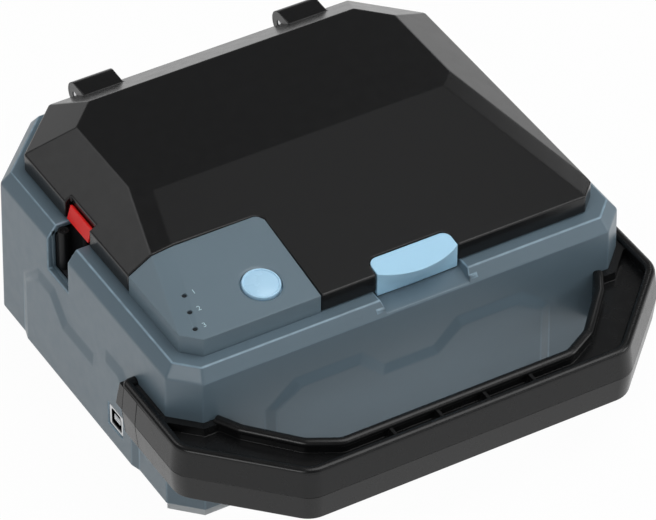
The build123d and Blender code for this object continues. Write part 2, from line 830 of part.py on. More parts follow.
half_room = hinge_lug_width / 2 + contact_gap
with BuildPart() as lug_space:
    with Locations((0, hinge_y, hinge_z)):
        Cylinder(lug_room, 2 * half_room, rotation=(0, 90, 0))
    add(box_between(-half_room, half_room, hinge_y - lug_room, hinge_y + hinge_radius * 2, skirt_z, hinge_z))
    with BuildSketch(Plane((-half_room, hinge_y, hinge_z), x_dir=(0, 1, 0), z_dir=(1, 0, 0))):
        with BuildLine():
            far = hinge_radius * 3
            Polyline((0, 0), (far, 0), (far, far * tan(radians(hinge_cover_angle))), (0, 0))
        make_face()
    extrude(amount=2 * half_room)

latch_pin_y = skirt_front + latch_pin_back
latch_pin_z = slope_z(latch_pin_y) - latch_pin_drop
latch_pin_half = latch_width / 2 + latch_gap + notch_wall
notch_y = slot_y
with BuildPart() as lid:
    add(lid_block(0, skirt_z))
    add(lid_block(lid_wall, deck_z), mode=Mode.SUBTRACT)
    add(panel_block.part)
    add(notch_block.part)
    add(panel_region(panel_gap, deck_z, crown_z), mode=Mode.SUBTRACT)
    extrude(notch_face(0, deck_z), amount=crown_height + skirt_height, mode=Mode.SUBTRACT)
    for side in (-1, 1):
        add(knuckle.part.moved(Location((side * hinge_x, 0, 0))))
        add(lug_space.part.moved(Location((side * hinge_x, 0, 0))), mode=Mode.SUBTRACT)
    with Locations((0, hinge_y, hinge_z)):
        Cylinder(hinge_pin_radius + running, 2 * (hinge_x + hinge_width), rotation=(0, 90, 0),
                 mode=Mode.SUBTRACT)
    with Locations((latch_x, latch_pin_y, latch_pin_z)):
        Cylinder(latch_pin_radius, 2 * latch_pin_half, rotation=(0, 90, 0), mode=Mode.SUBTRACT)
    add(box_between(-body_width, notch_inner, notch_y - notch_width / 2, notch_y + notch_width / 2, deck_z,
                    notch_top), mode=Mode.SUBTRACT)
    for x, y in liner_places:
        add(rod(x, y, screw_radius * 2, crown_z - lid_wall - liner_drop, crown_z - lid_wall / 2))
        add(rod(x, y, screw_bore, crown_z - lid_wall - liner_drop, crown_z - lid_wall - screw_gap),
            mode=Mode.SUBTRACT)

lid.part.label = "lid"
export_step(lid.part, "parts/lid.step")

# Liner: a stiffening tray screwed to the lid's bosses, and its screws
liner_top = crown_z - lid_wall - liner_drop
with BuildPart() as lid_liner:
    extrude(plan_face(inset(crown_plan, liner_inset), liner_top - liner_thick), amount=liner_thick)
    extrude(plan_face(inset(crown_plan, liner_inset), liner_top - liner_thick - liner_rim), amount=liner_rim)
    extrude(plan_face(inset(crown_plan, liner_inset + liner_thick), liner_top - liner_thick - liner_rim),
            amount=liner_rim, mode=Mode.SUBTRACT)
    for x, y in liner_places:
        add(rod(x, y, screw_bore, liner_top - liner_thick, liner_top), mode=Mode.SUBTRACT)

lid_liner.part.label = "lid_liner"
export_step(lid_liner.part, "parts/lid_liner.step")

with BuildPart() as liner_screws:
    for x, y in liner_places:
        add(rod(x, y, screw_head, liner_top - liner_thick - screw_head_height, liner_top - liner_thick))
        add(rod(x, y, screw_radius, liner_top - liner_thick, crown_z - lid_wall - screw_gap * 2))

liner_screws.part.label = "liner_screws"
export_step(liner_screws.part, "parts/liner_screws.step")

# Hinge pins: steel rods through the knuckles and the case's lugs
with BuildPart() as hinge_pins:
    with Locations((-hinge_x, hinge_y, hinge_z), (hinge_x, hinge_y, hinge_z)):
        Cylinder(hinge_pin_radius, hinge_width - 2 * contact_gap, rotation=(0, 90, 0))

hinge_pins.part.label = "hinge_pins"
export_step(hinge_pins.part, "parts/hinge_pins.step")


# Latch: a lip to lift with a finger, on a pin across the lid's notch
latch_back_y = skirt_front + latch_depth
half_latch = latch_width / 2


def latch_outline(z, bulge):
    """Plan of the latch at height z: its front edge bulges forward."""
    with BuildSketch(Plane.XY.offset(z)) as face:
        with BuildLine():
            left = latch_x - half_latch
            right = latch_x + half_latch
            tip = latch_back_y - latch_round
            Line((right, skirt_front), (right, tip))
            ThreePointArc((right, tip), (right - latch_round * (1 - sqrt(0.5)), latch_back_y - latch_round *
                          (1 - sqrt(0.5))), (right - latch_round, latch_back_y))
            Line((right - latch_round, latch_back_y), (left + latch_round, latch_back_y))
            ThreePointArc((left + latch_round, latch_back_y),
                          (left + latch_round * (1 - sqrt(0.5)), latch_back_y - latch_round * (1 - sqrt(0.5))),
                          (left, tip))
            Line((left, tip), (left, skirt_front))
            ThreePointArc((left, skirt_front), (latch_x, skirt_front - bulge), (right, skirt_front))
        make_face()
    return face.sketch


nose_top = deck_under - catch_thick - contact_gap
nose_low = nose_top - hook_nose_height
with BuildPart() as latch:
    lip_height = slope_z(skirt_front - latch_bulge) - tongue_bottom
    full_height = slope_z(latch_back_y) - tongue_bottom
    loft(sections=[latch_outline(tongue_bottom, contact_gap),
                   latch_outline(slope_z(latch_back_y), latch_bulge * full_height / lip_height)], ruled=True)
    add(box_between(-body_width, body_width, skirt_front + latch_tongue, back, deck_under - deck_thick,
                    deck_z + latch_gap), mode=Mode.SUBTRACT)
    slope_plane = Plane((0, skirt_front, eave_z), x_dir=(1, 0, 0), z_dir=button_plane.z_dir)
    split(bisect_by=slope_plane, keep=Keep.BOTTOM)
    add(box_between(latch_x - hook_width / 2, latch_x + hook_width / 2, hook_front,
                    hook_front + hook_thick, nose_low, skirt_z + hook_thick))
    add(box_between(latch_x - hook_width / 2, latch_x + hook_width / 2, hook_front + hook_thick,
                    hook_front + hook_thick + hook_nose, nose_low, nose_top))
    with Locations((latch_x, latch_pin_y, latch_pin_z)):
        Cylinder(latch_pin_radius + running, latch_width, rotation=(0, 90, 0), mode=Mode.SUBTRACT)
    spring_x = latch_x + hook_width
    add(box_between(spring_x - coil_length / 2 - contact_gap, spring_x + coil_length / 2 + contact_gap,
                    latch_pin_y - coil_radius - contact_gap, latch_back_y, deck_z,
                    latch_pin_z + coil_radius + contact_gap), mode=Mode.SUBTRACT)

latch.part.label = "latch"
export_step(latch.part, "parts/latch.step")

with BuildPart() as latch_pin:
    with Locations((latch_x, latch_pin_y, latch_pin_z)):
        Cylinder(latch_pin_radius, 2 * latch_pin_half, rotation=(0, 90, 0))

latch_pin.part.label = "latch_pin"
export_step(latch_pin.part, "parts/latch_pin.step")

# Torsion spring round the latch pin, hidden in the latch, as a plain sleeve
with BuildPart() as latch_spring:
    with Locations((spring_x, latch_pin_y, latch_pin_z)):
        Cylinder(coil_radius, coil_length, rotation=(0, 90, 0))
        Cylinder(latch_pin_radius, coil_length, rotation=(0, 90, 0), mode=Mode.SUBTRACT)

latch_spring.part.label = "latch_spring"
export_step(latch_spring.part, "parts/latch_spring.step")

# Catch: a steel strip under the deck, its front edge over the hook's nose
with BuildPart() as catch_plate:
    catch_front = hook_slot_back
    add(box_between(latch_x - hook_width, latch_x + hook_width, catch_front, front + bay_front,
                    deck_under - catch_thick, deck_under))

catch_plate.part.label = "catch_plate"
export_step(catch_plate.part, "parts/catch_plate.step")


# Handle: upper and lower shells round the front of the case
def wall_inner(z):
    """Distance from the middle to the side walls' inner faces at height z."""
    return body_width / 2 + wall_draft * (bevel_z - z) / wall_height - wall


def handle_face(shrink, z):
    """Outer outline of the handle at height z, filled in across the case."""
    half = handle_half_width - shrink
    y0 = front - handle_reach + shrink
    y1 = front + handle_arm_end - shrink
    cut = handle_corner - shrink * (2 - sqrt(2))
    with BuildSketch(Plane.XY.offset(z)) as face:
        Polygon((-half + cut, y0), (half - cut, y0), (half, y0 + cut), (half, y1), (-half, y1),
                (-half, y0 + cut), align=None)
        fillet(face.vertices().filter_by(lambda v: v.Y < y1 - 1), handle_round)
    return face.sketch


def grip_face(grow, z):
    """Outline of the finger gap between the front bar and the case."""
    points = [(grip_half, -grip_reach), (grip_corner_half, -grip_corner_reach),
              (grip_side_half, -grip_side_reach), (grip_root_half, 0), (grip_root_half, wall)]
    right = [(x, front + y) for x, y in points]
    left = [(-x, y) for x, y in reversed(right)]
    with BuildSketch(Plane.XY.offset(z)) as face:
        Polygon(*right, *left, align=None)
        low = face.vertices().group_by(Axis.Y)[:-2]
        fillet([v for group in low for v in group], grip_round)
        if grow > 0:
            offset(amount=grow, kind=Kind.ARC)
    return face.sketch


handle_top = handle_part_z + handle_up
handle_bottom = handle_part_z - handle_down
part_face = handle_face(0, handle_part_z)
with BuildPart() as case_clearance:
    loft(sections=[plan_face(inset(base_plan, -handle_fit), base_z),
                   plan_face(inset(wall_plan, -handle_fit), bevel_z)], ruled=True)
    for plane in (left_wall_plane, right_wall_plane):
        add(relief_plate(side_relief_half + handle_fit, side_relief_top + handle_fit,
                         plane.offset(handle_fit)))

with BuildPart() as handle_bores:
    for z in handle_screw_levels:
        with Locations((0, handle_screw_y, z)):
            Cylinder(screw_bore, 2 * (wall_inner(z) + handle_screw_bite + screw_gap), rotation=(0, 90, 0))

with BuildPart() as cover_blocks:
    cover_inner = handle_half_width - handle_draft - cover_thick
    for side in (-1, 1):
        add(box_between(side * cover_inner, side * body_width, front + cover_start, front + cover_end,
                        handle_bottom, handle_top - handle_draft))

with BuildPart() as cover_room:
    for side in (-1, 1):
        add(box_between(side * (cover_inner - cover_gap), side * body_width, front + cover_start - cover_gap,
                        front + cover_end + cover_gap, handle_bottom, handle_top - handle_draft + cover_gap))

with BuildSketch(Plane.XY.offset(handle_top)) as pocket:
    add(handle_face(handle_draft + handle_rim, 0))
    add(grip_face(handle_rim, 0), mode=Mode.SUBTRACT)
    add(plan_face(inset(wall_plan, -handle_rim), 0), mode=Mode.SUBTRACT)
    with Locations((0, front + pocket_end + body_depth / 2)):
        Rectangle(2 * body_width, body_depth, mode=Mode.SUBTRACT)

with BuildSketch(Plane.XY.offset(handle_top)) as pocket_cells:
    add(pocket.sketch_local)
    with Locations((0, front - (handle_reach + grip_reach) / 2)):
        with GridLocations(handle_rib_pitch, 1, handle_rib_count, 1):
            Rectangle(handle_rib, handle_reach - grip_reach, mode=Mode.SUBTRACT)

with BuildPart() as handle_upper:
    loft(sections=[part_face, handle_face(handle_draft, handle_top)], ruled=True)
    add(case_clearance.part, mode=Mode.SUBTRACT)
    extrude(grip_face(0, handle_part_z), amount=handle_up, mode=Mode.SUBTRACT)
    add(cover_room.part, mode=Mode.SUBTRACT)
    extrude(pocket.sketch, amount=-handle_rib_drop, mode=Mode.SUBTRACT)
    extrude(pocket_cells.sketch, amount=-pocket_depth, mode=Mode.SUBTRACT)
    add(handle_bores.part, mode=Mode.SUBTRACT)

handle_upper.part.label = "handle_upper"
export_step(handle_upper.part, "parts/handle_upper.step")

with BuildPart() as handle_lower:
    loft(sections=[handle_face(handle_draft, handle_bottom), part_face], ruled=True)
    add(case_clearance.part, mode=Mode.SUBTRACT)
    extrude(grip_face(0, handle_bottom), amount=handle_down, mode=Mode.SUBTRACT)
    add(box_between(-body_width, body_width, front + lower_arm_end, back, handle_bottom, handle_part_z),
        mode=Mode.SUBTRACT)
    add(cover_room.part, mode=Mode.SUBTRACT)
    add(handle_bores.part, mode=Mode.SUBTRACT)

handle_lower.part.label = "handle_lower"
export_step(handle_lower.part, "parts/handle_lower.step")

# Covers inlaid in the outer faces of the handle's arms
with BuildPart() as handle_covers:
    loft(sections=[handle_face(handle_draft, handle_bottom), part_face], ruled=True)
    loft(sections=[part_face, handle_face(handle_draft, handle_top)], ruled=True)
    add(cover_blocks.part, mode=Mode.INTERSECT)

handle_covers.part.label = "handle_covers"
export_step(handle_covers.part, "parts/handle_covers.step")

# Screws from inside the case into the handle's arms
with BuildPart() as handle_screws:
    for z in handle_screw_levels:
        seat = wall_inner(z)
        for side in (-1, 1):
            with Locations((side * (seat - screw_head_height / 2 - screw_gap), handle_screw_y, z)):
                Cylinder(screw_head, screw_head_height, rotation=(0, 90, 0))
            with Locations((side * (seat + handle_screw_bite / 2 - screw_gap), handle_screw_y, z)):
                Cylinder(screw_radius, handle_screw_bite, rotation=(0, 90, 0))

handle_screws.part.label = "handle_screws"
export_step(handle_screws.part, "parts/handle_screws.step")


# Places of the inner units
platen_y = slot_y + platen_behind + platen_radius
take_up_y = front + take_up_reach
supply_y = front + supply_reach
roll_y = front + roll_reach
nose_y = platen_y - platen_radius - tape_gap
head_front = nose_y - head_nose
arm_y = head_front - head_depth - arm_thick
arm_pivot_y = arm_y - arm_pivot_offset
tray_low = tray_floor_z - tray_floor
tray_top = deck_z + tray_flange_thick


def toward(x, y, bearing, distance):
    """The place at a distance from another one, in a direction given in degrees."""
    return (x + distance * cos(radians(bearing)), y + distance * sin(radians(bearing)))


def bearing_to(x0, y0, x1, y1):
    """Direction from one place to another, in degrees."""
    return degrees(atan2(y1 - y0, x1 - x0))


def mesh_distance(first, second):
    """Distance between the axes of two gears in mesh."""
    return module * (first + second) / 2


def meshed(phase, bearing, first, second):
    """Tooth direction of a second gear that meshes with a first one, in degrees."""
    return bearing + 180 + 180 / second - (phase - bearing) * first / second


idler_x, idler_y = toward(platen_x, platen_y, idler_bearing, mesh_distance(platen_teeth, idler_teeth))
pinion_x, pinion_y = toward(idler_x, idler_y, pinion_bearing, mesh_distance(idler_teeth, pinion_teeth))
span = hypot(take_up_x - idler_x, take_up_y - idler_y)
to_second = mesh_distance(idler_teeth, second_teeth)
from_second = mesh_distance(second_teeth, take_up_teeth)
along_span = (to_second ** 2 - from_second ** 2 + span ** 2) / (2 * span)
second_bearing = bearing_to(idler_x, idler_y, take_up_x, take_up_y) + degrees(atan2(
    sqrt(to_second ** 2 - along_span ** 2), along_span))
second_x, second_y = toward(idler_x, idler_y, second_bearing, to_second)
take_up_bearing = bearing_to(second_x, second_y, take_up_x, take_up_y)
idler_phase = meshed(0, idler_bearing, platen_teeth, idler_teeth)
pinion_phase = meshed(idler_phase, pinion_bearing, idler_teeth, pinion_teeth)
second_phase = meshed(idler_phase, second_bearing, idler_teeth, second_teeth)
take_up_phase = meshed(second_phase, take_up_bearing, second_teeth, take_up_teeth)


def gear_face(teeth, x, y, phase, z):
    """Outline of an involute gear with one tooth in the direction phase."""
    pitch_radius = module * teeth / 2
    base_radius = pitch_radius * cos(radians(pressure_angle))
    tip_radius = pitch_radius + module * addendum
    root_radius = pitch_radius - module * dedendum
    start = max(base_radius, root_radius)
    rolled = tan(radians(pressure_angle)) - radians(pressure_angle)
    widest = (pi / 2 - backlash / module) / teeth + rolled
    flank = [(root_radius, widest)] if root_radius < base_radius else []
    for step in range(flank_steps + 1):
        radius = start + (tip_radius - start) * step / flank_steps
        turn = sqrt(max(radius ** 2 / base_radius ** 2 - 1, 0))
        flank.append((radius, widest - turn + atan2(turn, 1)))
    points = []
    for tooth in range(teeth):
        middle = radians(phase) + 2 * pi * tooth / teeth
        points += [(x + r * cos(middle - a), y + r * sin(middle - a)) for r, a in flank]
        points += [(x + r * cos(middle + a), y + r * sin(middle + a)) for r, a in reversed(flank)]
    with BuildSketch(Plane.XY.offset(z)) as face:
        Polygon(*points, align=None)
    return face.sketch


def gear_block(teeth, x, y, phase, bore):
    """A gear of the train under the tray, with a hub on each side."""
    with BuildPart() as block:
        extrude(gear_face(teeth, x, y, phase, gear_low), amount=gear_thick)
        add(rod(x, y, hub_radius, plate_top + contact_gap, tray_low - contact_gap))
        add(rod(x, y, bore, plate_top, tray_low), mode=Mode.SUBTRACT)
    return block.part


# Tray: a liner hung in the bay by its flange; the units stand on its floor
cutter_pinion_y = front + cutter_pinion_reach
rack_line = carriage_left + (cutter_x - carriage_left) * 2
cutter_pinion_x = rack_line + module * cutter_teeth / 2
guide_right = rack_line + module * addendum + guide_room
guide_left = carriage_left - contact_gap - guide_wall
with BuildPart() as tray:
    extrude(bay_face(-tray_fit, tray_low), amount=tray_top - tray_low)
    extrude(bay_face(tray_flange, deck_z), amount=tray_flange_thick)
    extrude(bay_face(-tray_fit - tray_wall, tray_floor_z), amount=tray_top - tray_floor_z, mode=Mode.SUBTRACT)
    add(box_between(-body_width, -bay_half_width + tray_fit + tray_wall * 2, slot_y - exit_half,
                    slot_y + exit_half, slot_floor, tray_top), mode=Mode.SUBTRACT)
    for x in (guide_left, guide_right):
        add(box_between(x, x + guide_wall, front + guide_start, front + guide_end, tray_floor_z, rack_top))
    add(rod(supply_x, supply_y, supply_post_radius, tray_floor_z, unit_top))
    add(rod(platen_x, platen_y, bush_radius, tray_low, tray_floor_z), mode=Mode.SUBTRACT)
    add(rod(take_up_x, take_up_y, spindle_radius + running, tray_low, tray_floor_z), mode=Mode.SUBTRACT)
    add(rod(cutter_pinion_x, cutter_pinion_y, cutter_shaft * 3, tray_low, tray_floor_z), mode=Mode.SUBTRACT)
    for x, y in tray_screw_places:
        add(rod(x, y, tray_screw_radius + screw_gap, deck_z, tray_top), mode=Mode.SUBTRACT)

tray.part.label = "tray"
export_step(tray.part, "parts/tray.step")

with BuildPart() as tray_screws:
    for x, y in tray_screw_places:
        add(rod(x, y, tray_screw_head, tray_top, tray_top + tray_screw_radius))
        add(rod(x, y, tray_screw_radius, tray_top - tray_screw_length, tray_top))

tray_screws.part.label = "tray_screws"
export_step(tray_screws.part, "parts/tray_screws.step")

# Drive plate: a steel plate hung under the tray on five spacers, over the gears
with BuildPart() as drive_plate:
    with BuildSketch(Plane.XY.offset(plate_top - plate_thick)):
        with BuildLine():
            for x, reach in spacer_places:
                CenterArc((x, front + reach), plate_margin, 0, 360)
        make_hull()
    extrude(amount=plate_thick)
    add(rod(platen_x, platen_y, shaft_radius + running, plate_top - plate_thick, plate_top),
        mode=Mode.SUBTRACT)
    add(rod(pinion_x, pinion_y, motor_boss, plate_top - plate_thick, plate_top), mode=Mode.SUBTRACT)

drive_plate.part.label = "drive_plate"
export_step(drive_plate.part, "parts/drive_plate.step")

with BuildPart() as drive_spacers:
    for x, reach in spacer_places:
        add(rod(x, front + reach, spacer_radius, plate_top, tray_low))

drive_spacers.part.label = "drive_spacers"
export_step(drive_spacers.part, "parts/drive_spacers.step")

# Drive motor under the plate; its shaft carries the pinion
motor_top = plate_top - plate_thick
with BuildPart() as drive_motor:
    add(rod(pinion_x, pinion_y, motor_radius, motor_top - motor_height, motor_top))
    add(rod(pinion_x, pinion_y, motor_boss, motor_top, plate_top))
    add(rod(pinion_x, pinion_y, motor_shaft + running, motor_top - motor_shaft_depth - contact_gap,
            plate_top),
        mode=Mode.SUBTRACT)

drive_motor.part.label = "drive_motor"
export_step(drive_motor.part, "parts/drive_motor.step")

with BuildPart() as motor_pinion:
    add(gear_block(pinion_teeth, pinion_x, pinion_y, pinion_phase, motor_shaft / 2))
    add(rod(pinion_x, pinion_y, motor_shaft, motor_top - motor_shaft_depth, gear_low + gear_thick))

motor_pinion.part.label = "motor_pinion"
export_step(motor_pinion.part, "parts/motor_pinion.step")

# Gears between the motor, the platen and the ribbon's take-up spindle
with BuildPart() as idler_gear:
    add(gear_block(idler_teeth, idler_x, idler_y, idler_phase, post_radius + running))

idler_gear.part.label = "idler_gear"
export_step(idler_gear.part, "parts/idler_gear.step")

with BuildPart() as second_gear:
    add(gear_block(second_teeth, second_x, second_y, second_phase, post_radius + running))

second_gear.part.label = "second_gear"
export_step(second_gear.part, "parts/second_gear.step")

with BuildPart() as take_up_gear:
    extrude(gear_face(take_up_teeth, take_up_x, take_up_y, take_up_phase, gear_low), amount=gear_thick)
    add(rod(take_up_x, take_up_y, spindle_radius, plate_top + contact_gap, unit_top))
    add(rod(take_up_x, take_up_y, post_radius + running, plate_top, gear_low + gear_thick),
        mode=Mode.SUBTRACT)

take_up_gear.part.label = "take_up_gear"
export_step(take_up_gear.part, "parts/take_up_gear.step")

with BuildPart() as gear_posts:
    for x, y in ((idler_x, idler_y), (second_x, second_y)):
        add(rod(x, y, post_radius, plate_top, tray_low))
    add(rod(take_up_x, take_up_y, post_radius, plate_top, gear_low + gear_thick - contact_gap))

gear_posts.part.label = "gear_posts"
export_step(gear_posts.part, "parts/gear_posts.step")

# Platen: a rubber roller on a steel shaft that a flanged bush carries
with BuildPart() as platen_bush:
    add(rod(platen_x, platen_y, bush_radius, tray_low, tray_floor_z))
    add(rod(platen_x, platen_y, bush_flange, tray_floor_z, tray_floor_z + bush_flange_thick))
    add(rod(platen_x, platen_y, shaft_radius + running, tray_low, tray_floor_z + bush_flange_thick),
        mode=Mode.SUBTRACT)

platen_bush.part.label = "platen_bush"
export_step(platen_bush.part, "parts/platen_bush.step")

with BuildPart() as platen_shaft:
    add(rod(platen_x, platen_y, shaft_radius, plate_top - plate_thick * 2, unit_top + shaft_radius))

platen_shaft.part.label = "platen_shaft"
export_step(platen_shaft.part, "parts/platen_shaft.step")

with BuildPart() as platen_roller:
    add(rod(platen_x, platen_y, platen_radius, unit_low, unit_top))
    add(rod(platen_x, platen_y, shaft_radius, unit_low, unit_top), mode=Mode.SUBTRACT)

platen_roller.part.label = "platen_roller"
export_step(platen_roller.part, "parts/platen_roller.step")

with BuildPart() as platen_gear:
    add(gear_block(platen_teeth, platen_x, platen_y, 0, shaft_radius))

platen_gear.part.label = "platen_gear"
export_step(platen_gear.part, "parts/platen_gear.step")

# Print head: a bar on a sprung arm that swings away from the platen
with BuildPart() as head_pivot:
    add(rod(arm_pivot_x, arm_pivot_y, pivot_radius, tray_floor_z,
            unit_top + head_spring_height + contact_gap))

head_pivot.part.label = "head_pivot"
export_step(head_pivot.part, "parts/head_pivot.step")

with BuildPart() as head_arm:
    add(rod(arm_pivot_x, arm_pivot_y, arm_boss, unit_low, unit_top))
    add(box_between(arm_pivot_x, arm_pivot_x + arm_length, arm_y, arm_y + arm_thick, unit_low, unit_top))
    add(rod(arm_pivot_x, arm_pivot_y, pivot_radius + running, unit_low, unit_top), mode=Mode.SUBTRACT)

head_arm.part.label = "head_arm"
export_step(head_arm.part, "parts/head_arm.step")

with BuildPart() as print_head:
    add(box_between(platen_x - head_width / 2, platen_x + head_width / 2, arm_y + arm_thick, head_front,
                    unit_low, unit_top))
    add(box_between(platen_x - head_ridge, platen_x + head_ridge, head_front, nose_y, unit_low, unit_top))

print_head.part.label = "print_head"
export_step(print_head.part, "parts/print_head.step")

# Torsion spring on the arm's pivot, as a plain sleeve
with BuildPart() as head_spring:
    spring_low = unit_top + contact_gap
    add(rod(arm_pivot_x, arm_pivot_y, head_spring_radius, spring_low, spring_low + head_spring_height))
    add(rod(arm_pivot_x, arm_pivot_y, pivot_radius, spring_low, spring_low + head_spring_height),
        mode=Mode.SUBTRACT)

head_spring.part.label = "head_spring"
export_step(head_spring.part, "parts/head_spring.step")

# Ribbon cassette with a supply spool and a driven take-up spool
with BuildPart() as ribbon_cassette:
    with BuildSketch(Plane.XY.offset(tray_floor_z)) as cassette_outline:
        with Locations((cassette_x, front + cassette_front + cassette_depth / 2)):
            Rectangle(cassette_width, cassette_depth)
        chamfer(cassette_outline.vertices(), cassette_cut)
    extrude(amount=cassette_top - tray_floor_z)
    for x, y, film in ((take_up_x, take_up_y, take_up_film), (supply_x, supply_y, supply_film)):
        add(rod(x, y, film + spool_gap, tray_floor_z + cassette_wall, cassette_top), mode=Mode.SUBTRACT)
        add(rod(x, y, spindle_radius + contact_gap, tray_floor_z, cassette_top), mode=Mode.SUBTRACT)

ribbon_cassette.part.label = "ribbon_cassette"
export_step(ribbon_cassette.part, "parts/ribbon_cassette.step")

spool_low = tray_floor_z + cassette_wall + contact_gap
with BuildPart() as take_up_spool:
    add(rod(take_up_x, take_up_y, take_up_film, spool_low, unit_top - spool_gap))
    add(rod(take_up_x, take_up_y, spool_core, spool_low, unit_top))
    add(rod(take_up_x, take_up_y, spindle_radius, spool_low, unit_top), mode=Mode.SUBTRACT)

take_up_spool.part.label = "take_up_spool"
export_step(take_up_spool.part, "parts/take_up_spool.step")

with BuildPart() as supply_spool:
    add(rod(supply_x, supply_y, supply_film, spool_low, unit_top - spool_gap))
    add(rod(supply_x, supply_y, spool_core, spool_low, unit_top))
    add(rod(supply_x, supply_y, supply_post_radius + running, spool_low, unit_top), mode=Mode.SUBTRACT)

supply_spool.part.label = "supply_spool"
export_step(supply_spool.part, "parts/supply_spool.step")

# Label roll on its core, in a round holder with a spindle
roll_low = tray_floor_z + holder_floor + contact_gap
roll_top = tray_floor_z + holder_height
with BuildPart() as label_holder:
    add(rod(roll_x, roll_y, holder_radius, tray_floor_z, roll_top))
    add(rod(roll_x, roll_y, holder_radius - holder_wall, tray_floor_z + holder_floor, roll_top),
        mode=Mode.SUBTRACT)
    add(rod(roll_x, roll_y, roll_spindle, tray_floor_z + holder_floor, roll_top - holder_wall))
    add(rod(roll_x, roll_y, roll_spindle - holder_wall, tray_floor_z + holder_floor, roll_top),
        mode=Mode.SUBTRACT)
    add(box_between(roll_x - holder_radius, roll_x - roll_radius / 2, roll_y - roll_radius,
                    slot_y + holder_wall, tray_floor_z + holder_floor, roll_top), mode=Mode.SUBTRACT)

label_holder.part.label = "label_holder"
export_step(label_holder.part, "parts/label_holder.step")

with BuildPart() as label_roll:
    add(rod(roll_x, roll_y, roll_radius, roll_low, roll_top - holder_wall))
    add(rod(roll_x, roll_y, core_radius, roll_low, roll_top - holder_wall), mode=Mode.SUBTRACT)

label_roll.part.label = "label_roll"
export_step(label_roll.part, "parts/label_roll.step")

with BuildPart() as roll_core:
    add(rod(roll_x, roll_y, core_radius, roll_low, roll_top - holder_wall))
    add(rod(roll_x, roll_y, core_bore, roll_low, roll_top - holder_wall), mode=Mode.SUBTRACT)

roll_core.part.label = "roll_core"
export_step(roll_core.part, "parts/roll_core.step")

# Cutter: a motor-driven pinion and rack push a blade past a fixed one
with BuildPart() as fixed_blade:
    blade_face = cutter_x + blade_gap
    add(box_between(blade_face, blade_face + fixed_blade_thick, front + fixed_blade_reach,
                    front + fixed_blade_reach + fixed_blade_depth, tray_floor_z, unit_top))

fixed_blade.part.label = "fixed_blade"
export_step(fixed_blade.part, "parts/fixed_blade.step")

rack_pitch = pi * module
rack_rise = module * addendum
rack_root = module * dedendum
flank_run = tan(radians(pressure_angle))
half_rack_tooth = rack_pitch / 4 - backlash / 4
carriage_low = tray_floor_z + contact_gap
with BuildPart() as cutter_carriage:
    add(box_between(carriage_left, rack_line - rack_root, front + carriage_start, front + holder_start,
                    carriage_low, rack_top))
    add(box_between(carriage_left, cutter_x - blade_thick, front + holder_start, front + holder_end,
                    carriage_low, unit_top))
    with BuildSketch(Plane.XY.offset(cutter_pinion_low)):
        first_tooth = int((front + carriage_start - cutter_pinion_y) / rack_pitch) + 1
        last_tooth = int((front + rack_end - cutter_pinion_y) / rack_pitch) - 1
        for tooth in range(first_tooth, last_tooth + 1):
            tooth_y = cutter_pinion_y + (tooth - 0.5) * rack_pitch
            foot = half_rack_tooth + rack_root * flank_run
            tip = half_rack_tooth - rack_rise * flank_run
            Polygon((rack_line - rack_root, tooth_y - foot), (rack_line + rack_rise, tooth_y - tip),
                    (rack_line + rack_rise, tooth_y + tip), (rack_line - rack_root, tooth_y + foot),
                    align=None)
    extrude(amount=rack_top - cutter_pinion_low)

cutter_carriage.part.label = "cutter_carriage"
export_step(cutter_carriage.part, "parts/cutter_carriage.step")

with BuildPart() as cutter_blade:
    add(box_between(cutter_x - blade_thick, cutter_x, front + holder_start, front + holder_end + blade_length,
                    unit_low + cutter_travel, unit_top))

cutter_blade.part.label = "cutter_blade"
export_step(cutter_blade.part, "parts/cutter_blade.step")

with BuildPart() as cutter_motor:
    add(rod(cutter_pinion_x, cutter_pinion_y, cutter_motor_radius, tray_low - cutter_motor_height, tray_low))
    add(rod(cutter_pinion_x, cutter_pinion_y, cutter_shaft * 3, tray_low, tray_floor_z))
    add(rod(cutter_pinion_x, cutter_pinion_y, cutter_shaft + running, tray_low - cutter_motor_height / 2,
            tray_floor_z), mode=Mode.SUBTRACT)

cutter_motor.part.label = "cutter_motor"
export_step(cutter_motor.part, "parts/cutter_motor.step")

with BuildPart() as cutter_pinion:
    extrude(gear_face(cutter_teeth, cutter_pinion_x, cutter_pinion_y, 180, cutter_pinion_low),
            amount=rack_top - cutter_pinion_low)
    add(rod(cutter_pinion_x, cutter_pinion_y, cutter_shaft, tray_low - cutter_motor_height / 3, rack_top))

cutter_pinion.part.label = "cutter_pinion"
export_step(cutter_pinion.part, "parts/cutter_pinion.step")

# Exit: a channel from the tray to the slot in the wall, with a guide roller in it
chute_inner = -bay_half_width + tray_fit
with BuildPart() as exit_chute:
    add(box_between(chute_end, chute_inner, slot_y - chute_half - chute_wall,
                    slot_y + chute_half + chute_wall, slot_floor - chute_wall, bevel_z))
    add(box_between(chute_end, chute_inner, slot_y - chute_half, slot_y + chute_half, slot_floor, bevel_z),
        mode=Mode.SUBTRACT)

exit_chute.part.label = "exit_chute"
export_step(exit_chute.part, "parts/exit_chute.step")

roller_y = front + roller_reach
with BuildPart() as roller_pin:
    add(rod(roller_x, roller_y, roller_pin_radius, slot_floor, roller_top - roller_pin_radius))

roller_pin.part.label = "roller_pin"
export_step(roller_pin.part, "parts/roller_pin.step")

with BuildPart() as exit_roller:
    add(rod(roller_x, roller_y, roller_radius, roller_low, roller_top))
    add(rod(roller_x, roller_y, roller_pin_radius + running, roller_low, roller_top), mode=Mode.SUBTRACT)

exit_roller.part.label = "exit_roller"
export_step(exit_roller.part, "parts/exit_roller.step")

